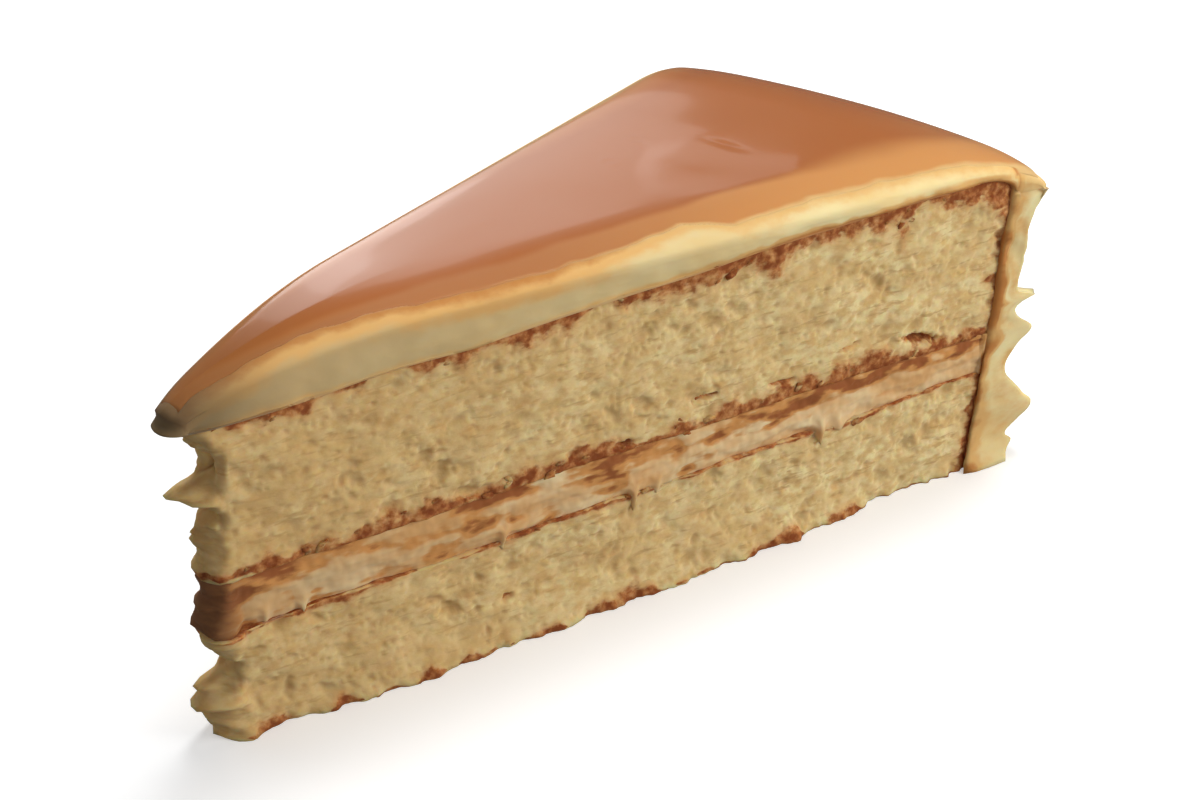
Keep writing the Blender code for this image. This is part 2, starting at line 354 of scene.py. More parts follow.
def dress(piece: bpy.types.Object, finish: bpy.types.Material, slot: str, *nodes: str) -> None:
    """Gives a piece its finish, sets it on the body that it rides on and hides the solids that it stands
    for.

    Args:
        piece: The finished piece.
        finish: Its material.
        slot: A material slot, which is not used.
        nodes: The solids that the piece stands for, if any.
    """
    for polygon in piece.data.polygons:
        polygon.use_smooth = True
    piece.data.materials.clear()
    piece.data.materials.append(finish)
    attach(piece, BODY)
    if nodes:
        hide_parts(*nodes)
    LOG.info("%s: %d points", piece.name, len(piece.data.vertices))


class Graph:
    """A Principled material and the nodes that feed it, in Object coordinates."""

    def __init__(self, name: str, **constants: object) -> None:
        """Makes the material.

        Args:
            name: Its name.
            constants: Values of the shader's own sockets, by their names, with _ for a space.
        """
        self.material = bpy.data.materials.new(name)
        self.material.use_nodes = True
        self.tree = self.material.node_tree
        self.shader = self.tree.nodes["Principled BSDF"]
        self.place = self.tree.nodes.new("ShaderNodeTexCoord").outputs["Object"]
        for socket, value in constants.items():
            self.shader.inputs[socket.replace("_", " ")].default_value = value

    def feed(self, socket: bpy.types.NodeSocket, value: object) -> None:
        """Links a socket to another, or gives it a value.

        Args:
            socket: The socket.
            value: A socket, a colour or a number.
        """
        if isinstance(value, bpy.types.NodeSocket):
            self.tree.links.new(value, socket)
        elif isinstance(value, tuple):
            opaque = 1.0
            socket.default_value = (*value, opaque)
        else:
            socket.default_value = value

    def set(self, socket: str, value: object) -> None:
        """Feeds one of the shader's sockets."""
        self.feed(self.shader.inputs[socket], value)

    def noise(self, size: float, detail: float, stretch: Triple = (1.0, 1.0, 1.0)) -> bpy.types.NodeSocket:
        """Noise between 0 and 1.

        Args:
            size: The width of one bump.
            detail: How many finer layers are added.
            stretch: How far the bumps are drawn out along each axis.

        Returns:
            Its value.
        """
        mapping = self.tree.nodes.new("ShaderNodeMapping")
        mapping.inputs["Scale"].default_value = tuple(1 / s for s in stretch)
        self.tree.links.new(self.place, mapping.inputs["Vector"])
        made = self.tree.nodes.new("ShaderNodeTexNoise")
        made.inputs["Scale"].default_value = 1 / size
        made.inputs["Detail"].default_value = detail
        made.inputs["Roughness"].default_value = 0.55
        self.tree.links.new(mapping.outputs["Vector"], made.inputs["Vector"])
        return made.outputs["Fac"]

    def uneven(
        self, strength: float, size: float, detail: float, stretch: Triple = (1.0, 1.0, 1.0)
    ) -> bpy.types.NodeSocket:
        """Noise about zero, as wide as its strength."""
        return self.scaled(self.math("SUBTRACT", self.noise(size, detail, stretch), 0.5), strength)

    def towards_rim(self, start: float, end: float) -> bpy.types.NodeSocket:
        """A share that grows from 0 to 1 between two places along the slice.

        Args:
            start: The x where it starts.
            end: The x where it is 1.

        Returns:
            The share.
        """
        made = self.tree.nodes.new("ShaderNodeSeparateXYZ")
        self.tree.links.new(self.place, made.inputs["Vector"])
        return self.between(made.outputs["X"], start, end)

    def towards_tip(self, most: float, start: float, end: float) -> bpy.types.NodeSocket:
        """A share that falls from its most, at the place nearer the tip, to 0 at the other."""
        return self.scaled(self.math("SUBTRACT", 1.0, self.towards_rim(start, end)), most)

    def painted(self, name: str) -> bpy.types.NodeSocket:
        """The value that paint stored under a name.

        Args:
            name: The name.

        Returns:
            The value.
        """
        made = self.tree.nodes.new("ShaderNodeAttribute")
        made.attribute_name = name
        return made.outputs["Fac"]

    def math(self, operation: str, first: object, second: object) -> bpy.types.NodeSocket:
        """A sum, product or like of two values or sockets.

        Args:
            operation: The Math node's operation.
            first: A value or a socket.
            second: Another.

        Returns:
            The outcome.
        """
        made = self.tree.nodes.new("ShaderNodeMath")
        made.operation = operation
        self.feed(made.inputs[0], first)
        self.feed(made.inputs[1], second)
        return made.outputs[0]

    def scaled(self, value: object, factor: float) -> bpy.types.NodeSocket:
        """A value or a socket times a factor."""
        return self.math("MULTIPLY", value, factor)

    def between(self, value: bpy.types.NodeSocket, low: float, high: float) -> bpy.types.NodeSocket:
        """A value spread from a range to 0 to 1, and held inside it.

        Args:
            value: The value.
            low: The value that gives 0.
            high: The value that gives 1.

        Returns:
            The share.
        """
        made = self.tree.nodes.new("ShaderNodeMapRange")
        made.interpolation_type = "SMOOTHSTEP"
        made.inputs["From Min"].default_value = low
        made.inputs["From Max"].default_value = high
        self.tree.links.new(value, made.inputs["Value"])
        return made.outputs["Result"]

    def ramp(self, value: bpy.types.NodeSocket, *stops: tuple[float, Colour]) -> bpy.types.NodeSocket:
        """Colours along a value.

        Args:
            value: The value.
            stops: Places from 0 to 1, each with its colour.

        Returns:
            The colour at the value.
        """
        made = self.tree.nodes.new("ShaderNodeValToRGB")
        elements = made.color_ramp.elements
        while len(elements) < len(stops):
            elements.new(1.0)
        for element, (place, colour) in zip(elements, stops):
            element.position = place
            element.color = (*colour, 1.0)
        self.tree.links.new(value, made.inputs["Fac"])
        return made.outputs["Color"]

    def mix(self, share: object, first: object, second: object) -> bpy.types.NodeSocket:
        """A mix of two colours.

        Args:
            share: How much of the second colour there is, from 0 to 1.
            first: A colour.
            second: Another.

        Returns:
            The mix.
        """
        made = self.tree.nodes.new("ShaderNodeMix")
        made.data_type = "RGBA"
        self.feed(made.inputs[0], share)
        self.feed(made.inputs[6], first)
        self.feed(made.inputs[7], second)
        return made.outputs[2]

    def bump(self, height: bpy.types.NodeSocket, depth: float, strength: float) -> None:
        """Adds fine relief on the shader's normal.

        Args:
            height: The relief's height, from 0 to 1.
            depth: Its depth in metres.
            strength: How much of it shows.
        """
        made = self.tree.nodes.new("ShaderNodeBump")
        made.inputs["Distance"].default_value = depth
        made.inputs["Strength"].default_value = strength
        self.tree.links.new(height, made.inputs["Height"])
        self.tree.links.new(made.outputs["Normal"], self.shader.inputs["Normal"])


@dataclass(frozen=True)
class CrumbFinish:
    """Open sponge crumb, pale yellow and brown where it baked, with painted shade in its hollows, cracks and
    tip.

    A noise is given by its bump size, its detail and its stretch. A part is a range of its values.
    """

    pale: Colour = (0.93, 0.75, 0.385)
    tan: Colour = (0.76, 0.52, 0.22)
    # Painted shade: the crumb darkens towards the tip, which faces away from the lights.
    tip_shade: Colour = (0.76, 0.48, 0.19)
    # Painted shade, which the hollows and cracks take on.
    pore: Colour = (0.56, 0.34, 0.13)
    halo: Colour = (0.74, 0.42, 0.17)
    crust_dark: Colour = (0.30, 0.085, 0.028)
    crust_mid: Colour = (0.50, 0.19, 0.065)
    crust_light: Colour = (0.72, 0.38, 0.15)
    grain: tuple[float, float, Triple] = (1.5 * MM, 6.0, (1.7, 1.7, 1.0))
    patches: tuple[float, float, Triple] = (5.0 * MM, 3.0, (1.6, 1.6, 1.0))
    patch_part: Range = (0.42, 0.66)
    patch_share: float = 0.65
    cracks: tuple[float, float, Triple] = (0.8 * MM, 3.0, (5.0, 5.0, 1.0))
    crack_part: Range = (0.56, 0.70)
    crack_shade_share: float = 0.7
    tip_shade_share: float = 0.5
    tip_shade_part: Range = (-0.075, 0.030)
    hollow_shade_share: float = 0.55
    rags: tuple[float, float, Triple] = (1.5 * MM, 5.0, (1.8, 1.8, 1.0))
    rag_width: float = 2.4
    halo_part: Range = (-1.0, 0.2)
    halo_share: float = 0.55
    crust_part: Range = (-0.10, 0.45)
    mottle: tuple[float, float] = (1.3 * MM, 4.0)
    darker_inside: float = -0.10
    fine: tuple[float, float, Triple] = (0.45 * MM, 4.0, (1.8, 1.8, 1.0))
    fine_depth: float = 0.10 * MM
    fine_strength: float = 0.5

    def make(self) -> bpy.types.Material:
        """Makes the material.

        Returns:
            The material.
        """
        graph = Graph(
            "crumb",
            Roughness=0.85,
            Specular_IOR_Level=0.2,
            Subsurface_Weight=0.6,
            Subsurface_Scale=1.6 * MM,
            Subsurface_Radius=(1.0, 0.55, 0.22),
        )
        crumb = graph.ramp(graph.noise(*self.grain), (0.38, self.tan), (0.56, self.pale))
        patches = graph.between(graph.noise(*self.patches), *self.patch_part)
        crumb = graph.mix(graph.scaled(patches, self.patch_share), crumb, self.tan)
        # Painted shade in fine cracks, which are not carved.
        cracks = graph.between(graph.noise(*self.cracks), *self.crack_part)
        crumb = graph.mix(graph.scaled(cracks, self.crack_shade_share), crumb, self.pore)
        # Painted shade towards the tip.
        crumb = graph.mix(graph.towards_tip(self.tip_shade_share, *self.tip_shade_part), crumb, self.tip_shade)
        # Painted shade in the hollows that the relief carved.
        crumb = graph.mix(graph.scaled(graph.painted("hollow"), self.hollow_shade_share), crumb, self.pore)
        ragged = graph.math("ADD", graph.painted("crust"), graph.uneven(self.rag_width, *self.rags))
        halo = graph.scaled(graph.between(ragged, *self.halo_part), self.halo_share)
        crumb = graph.mix(halo, crumb, self.halo)
        tone = graph.math("ADD", graph.noise(*self.mottle), graph.scaled(ragged, self.darker_inside))
        baked = graph.ramp(tone, (0.34, self.crust_dark), (0.48, self.crust_mid), (0.64, self.crust_light))
        graph.set("Base Color", graph.mix(graph.between(ragged, *self.crust_part), crumb, baked))
        graph.bump(graph.noise(*self.fine), self.fine_depth, self.fine_strength)
        return graph.material


@dataclass(frozen=True)
class CreamFinish:
    """Smooth cream, with honey that seeps in at the top or in smears, and painted shade towards the tip."""

    name: str
    pale: Colour
    deep: Colour
    honey: Colour
    burnt: Colour
    # Painted shade towards the tip, which faces away from the lights.
    tip_shade: Colour
    tip_shade_share: float
    tip_shade_part: Range
    # Painted shade, darkest at the tip's end.
    tip: Colour
    tip_end_shade_part: Range
    smears: float
    streak: Triple
    patch: float
    tip_end_shade_share: float = 0.9
    smear_size: float = 0.9 * MM
    honey_part: Range = (0.0, 0.5)
    burnt_part: Range = (0.6, 1.0)
    fine: Range = (1.4 * MM, 4.0)
    fine_depth: float = 0.12 * MM
    fine_strength: float = 0.35

    def make(self) -> bpy.types.Material:
        """Makes the material.

        Returns:
            The material.
        """
        graph = Graph(
            self.name,
            Roughness=0.42,
            Specular_IOR_Level=0.35,
            Subsurface_Weight=0.35,
            Subsurface_Scale=1.6 * MM,
            Subsurface_Radius=(1.0, 0.7, 0.35),
        )
        cream = graph.ramp(graph.noise(self.patch, 3.0, self.streak), (0.35, self.deep), (0.65, self.pale))
        # Painted shade towards the tip.
        cream = graph.mix(graph.towards_tip(self.tip_shade_share, *self.tip_shade_part), cream, self.tip_shade)
        smears = graph.uneven(self.smears, self.smear_size, 4.0, self.streak)
        stain = graph.between(graph.math("ADD", graph.painted("honey"), smears), 0.0, 1.0)
        cream = graph.mix(graph.between(stain, *self.honey_part), cream, self.honey)
        cream = graph.mix(graph.between(stain, *self.burnt_part), cream, self.burnt)
        # Painted shade at the tip's end.
        cream = graph.mix(graph.towards_tip(self.tip_end_shade_share, *self.tip_end_shade_part), cream, self.tip)
        graph.set("Base Color", cream)
        graph.bump(graph.noise(*self.fine, self.streak), self.fine_depth, self.fine_strength)
        return graph.material


@dataclass(frozen=True)
class GlazeFinish:
    """Glossy honey glaze: amber brown where it is thick, yellow where it thins out, with painted shade near
    the tip.
    """

    thick: Colour = (0.47, 0.145, 0.035)
    middle: Colour = (0.54, 0.185, 0.050)
    thin: Colour = (0.60, 0.240, 0.072)
    edge: Colour = (0.82, 0.500, 0.205)
    # The honey on the shoulder keeps its own colour, and darkens towards the tip as painted shade.
    shoulder_shaded_at_tip: Colour = (0.52, 0.205, 0.075)
    shoulder_at_rim: Colour = (0.73, 0.325, 0.100)
    # Painted shade at the tip's end.
    tip: Colour = (0.30, 0.120, 0.030)
    drift: tuple[float, float, float] = (0.30, 9.0 * MM, 3.0)
    shoulder_part: Range = (-0.030, 0.035)
    edge_part: Range = (-0.040, 0.010)
    edge_depth: Range = (0.02, 0.30)
    tip_end_shade_share: float = 0.6
    tip_end_shade_part: Range = (-0.067, -0.040)
    skin: Range = (5.0 * MM, 2.0)
    skin_depth: float = 0.05 * MM
    skin_strength: float = 0.12

    def make(self) -> bpy.types.Material:
        """Makes the material.

        Returns:
            The material.
        """
        graph = Graph(
            "honey_glaze",
            Roughness=0.22,
            Coat_Weight=0.35,
            Coat_Roughness=0.06,
            IOR=1.45,
            Subsurface_Weight=0.15,
            Subsurface_Scale=2.0 * MM,
            Subsurface_Radius=(1.0, 0.45, 0.15),
        )
        depth = graph.math("ADD", graph.painted("depth"), graph.uneven(*self.drift))
        colour = graph.ramp(depth, (0.20, self.thin), (0.62, self.middle), (0.95, self.thick))
        # Painted shade: the shoulder's honey darkens towards the tip.
        along = graph.towards_rim(*self.shoulder_part)
        over_cream = graph.mix(along, self.shoulder_shaded_at_tip, self.shoulder_at_rim)
        colour = graph.mix(graph.painted("shoulder"), colour, over_cream)
        # Painted shade: the thin edge darkens towards the tip.
        edge = graph.mix(graph.towards_rim(*self.edge_part), self.shoulder_shaded_at_tip, self.edge)
        colour = graph.mix(graph.between(depth, *self.edge_depth), edge, colour)
        # Painted shade at the tip's end.
        colour = graph.mix(graph.towards_tip(self.tip_end_shade_share, *self.tip_end_shade_part), colour, self.tip)
        graph.set("Base Color", colour)
        graph.bump(graph.noise(*self.skin), self.skin_depth, self.skin_strength)
        return graph.material


@dataclass
class Layer:
    """A layer of the slice: a block that is drawn out to the slice's plan and split into a fine grid.

    Its edges are split along, across and upwards, each in one or more rounds.
    """

    name: str
    node: str
    slot: str
    plan: Plan
    along: tuple[int, ...]
    across: tuple[int, ...]
    levels: tuple[int, ...]
    rows: np.ndarray = field(init=False, default=None)
    columns: np.ndarray = field(init=False, default=None)
    heights: np.ndarray = field(init=False, default=None)

    def block(self) -> bpy.types.Object:
        """Adds the layer's block over its solid."""
        return self.slab(*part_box(self.node))

    def slab(self, low: Vector, high: Vector) -> bpy.types.Object:
        """Adds a cube between two corners, draws it out to a blunt wedge and splits its edges.

        Args:
            low: Its lowest corner.
            high: Its highest corner.

        Returns:
            The slab. The layer's rows, columns and heights say where its points lie, as shares.
        """
        size = high - low
        deselect_all()
        bpy.ops.mesh.primitive_cube_add(size=1, enter_editmode=True)
        piece = bpy.context.active_object
        piece.name = self.name
        bpy.ops.transform.resize(value=size, center_override=(0, 0, 0))
        bpy.ops.transform.translate(value=(low + high) / 2)
        self.select_points(piece, lambda point: point.x < low.x + MM)
        narrow = self.plan.tip_half_width * 2 / size.y
        middle = Vector((low.x, (low.y + high.y) / 2, (low.z + high.z) / 2))
        bpy.ops.transform.resize(value=(1, narrow, 1), center_override=middle)
        for axis, parts in ((Axis.ALONG, self.along), (Axis.UP, self.levels), (Axis.ACROSS, self.across)):
            for part in parts:
                self.split_edges(piece, axis, part)
        bpy.ops.object.mode_set(mode="OBJECT")
        self.measure(piece, low, high)
        return piece

    def measure(self, piece: bpy.types.Object, low: Vector, high: Vector) -> None:
        """Notes where a slab's points lie, as shares of the way between its corners.

        Args:
            piece: The slab.
            low: Its lowest corner.
            high: Its highest corner.
        """
        size = high - low
        narrow = self.plan.tip_half_width * 2 / size.y
        points = points_of(piece)
        self.rows = (points[:, 0] - low.x) / size.x
        half = size.y / 2 * (narrow + (1 - narrow) * self.rows)
        self.columns = (points[:, 1] - (low.y + high.y) / 2) / half
        self.heights = (points[:, 2] - low.z) / size.z

    @staticmethod
    def select_points(piece: bpy.types.Object, wanted: Callable[[Vector], bool]) -> None:
        """Selects points in edit mode, and the faces between them.

        Args:
            piece: The piece.
            wanted: Says of a point whether it is selected.
        """
        bpy.ops.mesh.select_mode(type="VERT")
        bpy.ops.mesh.select_all(action="DESELECT")
        mesh = bmesh.from_edit_mesh(piece.data)
        for vertex in mesh.verts:
            vertex.select = wanted(vertex.co)
        mesh.select_flush(True)
        bmesh.update_edit_mesh(piece.data)

    @staticmethod
    def split_edges(piece: bpy.types.Object, axis: Axis, parts: int, below: float = math.inf) -> None:
        """Splits every edge that runs mostly along an axis into equal parts.

        Args:
            piece: The piece, in edit mode.
            axis: The axis.
            parts: How many parts an edge gets.
            below: The height that an edge has to be under.
        """
        bpy.ops.mesh.select_mode(type="EDGE")
        bpy.ops.mesh.select_all(action="DESELECT")
        mesh = bmesh.from_edit_mesh(piece.data)
        for edge in mesh.edges:
            run = edge.verts[1].co - edge.verts[0].co
            lengths = [abs(run.x), abs(run.y), abs(run.z)]
            low = max(vertex.co.z for vertex in edge.verts) < below
            edge.select = low and lengths[axis.value] >= max(lengths)
        bmesh.update_edit_mesh(piece.data)
        bpy.ops.mesh.subdivide(number_cuts=parts - 1)

    def walls(self) -> np.ndarray:
        """Which points lie on the cut sides, the tip or the rim."""
        at_end = (self.rows < END) | (self.rows > 1 - END)
        return (np.abs(self.columns) > 1 - SIDE) | at_end


@dataclass(frozen=True)
class Ridge:
    """A level ridge on a wall: its height, its reach outwards, its width, and how much of it is an edge."""

    height: float
    reach: float
    width: float
    sharp: float = 0.0
    falling: float = 1.6

    def at(self, height: np.ndarray) -> np.ndarray:
        """How far the ridge moves a wall.

        Args:
            height: The heights of the wall's points.

        Returns:
            One distance outwards for each point.
        """
        away = np.abs(height - self.height) / self.width
        soft = (1 - self.sharp) * np.exp(-(away**2))
        return self.reach * (soft + self.sharp * np.exp(-self.falling * away))


@dataclass(frozen=True)
class Tear:
    """A tear in a cut side: its distance from the cake's centre, its height, half sizes, depth and tilt."""

    distance: float
    height: float
    half_length: float
    half_height: float
    depth: float
    tilt: float = 0.0
    side: Side = Side.NEAR


@dataclass(frozen=True)
class Pores:
    """One kind of pore in the crumb: how many to a square centimetre, and the range of their sizes."""

    per_cm2: float
    radius: Range
    depth: Range
    widest: float


@dataclass(frozen=True)
class Crust:
    """A browned edge of a sponge layer, seen on its cut sides as an uneven line.

    It has a thickness at the tip and one at the rim, a share of gaps and a distance that it wanders
    from its face. A faint one covers less.
    """

    face: Face
    at_tip: float
    at_rim: float
    broken: float
    wander: float
    faint: float
    seed: float
    rags: Range = (4.5 * MM, 0.9)
    waves: Range = (13 * MM, 0.6)
    gap_size: float = 7 * MM
    wander_size: float = 8 * MM
    thinnest_share: float = 0.12
    thinnest: float = 0.02 * MM

    def cover(self, points: np.ndarray, depth: np.ndarray) -> np.ndarray:
        """How far inside the crust points lie: over 0 inside it, and under 0 in the crumb.

        Args:
            points: Places on the wall.
            depth: How far each lies from the baked face.

        Returns:
            One value for each point, at most 1.
        """
        share = np.hypot(points[:, 0], points[:, 1]) / CAKE.sponge_radius
        shifted = points * (1.0, 1.0, 0.0) + (0.0, 0.0, self.seed * 10 * MM)
        uneven = 1 + self.rags[1] * noise_at(shifted, self.rags[0], 3)
        uneven = uneven + self.waves[1] * noise_at(shifted + 17 * MM, self.waves[0])
        covered = noise_at(shifted + 31 * MM, self.gap_size, 2) + 0.75 - 1.5 * self.broken
        line = self.wander * np.clip(0.25 + noise_at(shifted + 57 * MM, self.wander_size, 3), 0, 1)
        thickness = self.at_tip + (self.at_rim - self.at_tip) * share
        thickness *= np.maximum(self.thinnest_share, uneven) * smooth_step(0.5 + covered * 2)
        return np.clip(1 - np.abs(depth - line) / np.maximum(self.thinnest, thickness) - self.faint, -1, 1)


class Wall:
    """The upright faces of a layer, as points that hollows are carved into."""

    def __init__(self, points: np.ndarray, normals: np.ndarray, spacing: float) -> None:
        """Keeps the wall's points.

        Args:
            points: The points.
            normals: Their level normals.
            spacing: How far apart they are.
        """
        self.points = points
        self.normals = normals
        self.spacing = spacing
        self.depth = np.zeros(len(points))
        self.uneven = noise_at(points, 0.8 * MM, 2)
        self.tree = kdtree.KDTree(len(points))
        for index, point in enumerate(points):
            self.tree.insert(point, index)
        self.tree.balance()

    def nearest(self, tear: Tear) -> int:
        """The wall point where a tear is.

        Args:
            tear: The tear.

        Returns:
            The point's number.
        """
        distance = np.hypot(self.points[:, 0], self.points[:, 1])
        off = np.hypot(distance - tear.distance, self.points[:, 2] - tear.height)
        off[self.points[:, 1] * tear.side.value < 0] = 1
        return int(np.argmin(off))

    def carve(self, index: int, half_length: float, half_height: float, depth: float, tilt: float) -> None:
        """Carves one uneven hollow round a point. Where hollows meet, the deeper one counts.

        Args:
            index: The wall point in its middle.
            half_length: Half its size along its longer way.
            half_height: Half its size across that.
            depth: Its depth in the middle.
            tilt: The angle of its longer way from the level.
        """
        centre = self.points[index]
        reach = max(half_length, half_height) * 1.3
        found = [near for _, near, _ in self.tree.find_range(centre, reach)]
        offset = self.points[found] - centre
        tangent = np.array([-self.normals[index, 1], self.normals[index, 0]])
        level = offset[:, :2] @ tangent
        along = level * math.cos(tilt) + offset[:, 2] * math.sin(tilt)
        across = offset[:, 2] * math.cos(tilt) - level * math.sin(tilt)
        away = np.hypot(along / half_length, across / half_height) * (1 + 0.45 * self.uneven[found])
        bowl = depth * smooth_step(1 - away)
        self.depth[found] = np.maximum(self.depth[found], bowl)

    def open_pores(self, pores: Pores, draw: np.random.RandomState) -> None:
        """Carves one kind of pore all over the wall.

        Args:
            pores: The kind.
            draw: Where the pores' places and sizes are drawn from.
        """
        area = len(self.points) * (self.spacing * 100) ** 2
        for _ in range(int(pores.per_cm2 * area)):
            radius = pores.radius[0] + (pores.radius[1] - pores.radius[0]) * draw.rand() ** 2
            depth = pores.depth[0] + (pores.depth[1] - pores.depth[0]) * draw.rand()
            widen = 1 + (pores.widest - 1) * draw.rand()
            tilt = draw.normal(0, 0.5)
            self.carve(draw.randint(len(self.points)), radius * widen, radius, depth, tilt)


@dataclass(frozen=True)
class Flake:
    """A flake or notch of the broken tip: its height, its reach outwards, its size and its place across."""

    height: float
    reach: float
    half_height: float
    across: float = 0.0
    half_width: float = 9.0 * MM

    def at(self, points: np.ndarray, height: np.ndarray) -> np.ndarray:
        """How far the flake moves the tip's points.

        Args:
            points: The points.
            height: Their heights, which may be shifted a little.

        Returns:
            One distance outwards for each point.
        """
        up = np.abs(height - self.height) / self.half_height
        aside = (points[:, 1] - CAKE.tip_side - self.across) / self.half_width
        return self.reach * np.exp(-(up**1.4)) * np.exp(-(aside**2))


FLAKES = (
    Flake(42.4 * MM, 1.4 * MM, 1.1 * MM, 1.0 * MM, 2.4 * MM),
    Flake(37.3 * MM, -4.4 * MM, 1.7 * MM),
    Flake(34.2 * MM, 3.7 * MM, 0.6 * MM, 1.2 * MM, 1.2 * MM),
    Flake(33.3 * MM, 2.0 * MM, 0.7 * MM, -0.4 * MM, 1.4 * MM),
    Flake(31.0 * MM, -2.0 * MM, 1.0 * MM),
    Flake(27.6 * MM, 1.0 * MM, 0.8 * MM, 1.4 * MM, 1.4 * MM),
    Flake(23.8 * MM, 1.2 * MM, 1.6 * MM),
    Flake(15.6 * MM, 2.6 * MM, 3.6 * MM),
    Flake(10.4 * MM, -2.2 * MM, 1.2 * MM),
    Flake(7.4 * MM, 3.4 * MM, 0.7 * MM, 1.4 * MM, 1.3 * MM),
    Flake(5.6 * MM, 4.2 * MM, 1.2 * MM, 0.4 * MM, 2.4 * MM),
    Flake(3.0 * MM, 2.8 * MM, 1.5 * MM, 1.0 * MM, 2.2 * MM),
)


def tip_relief(points: np.ndarray) -> np.ndarray:
    """The broken steps and points of the tip, which fade out along the cut sides.

    Args:
        points: Points of a layer's walls.

    Returns:
        How far each moves outwards.
    """
    near_tip = np.clip(1 - (points[:, 0] - SPONGE.tip) / (1.3 * CAKE.tip_bulge), 0, 1)
    height = points[:, 2] + 0.5 * MM * noise_at(points * (1, 1, 0), 3 * MM)
    rags = 0.8 * MM * noise_at(points * (1.0, 0.6, 1.0), 1.3 * MM, 4)
    return near_tip * (rags + sum(flake.at(points, height) for flake in FLAKES))


@dataclass(frozen=True)
class Cut:
    """The finished walls of a sponge layer: points, level normals, and how far inside a crust each is."""

    points: np.ndarray
    normals: np.ndarray
    crust: np.ndarray


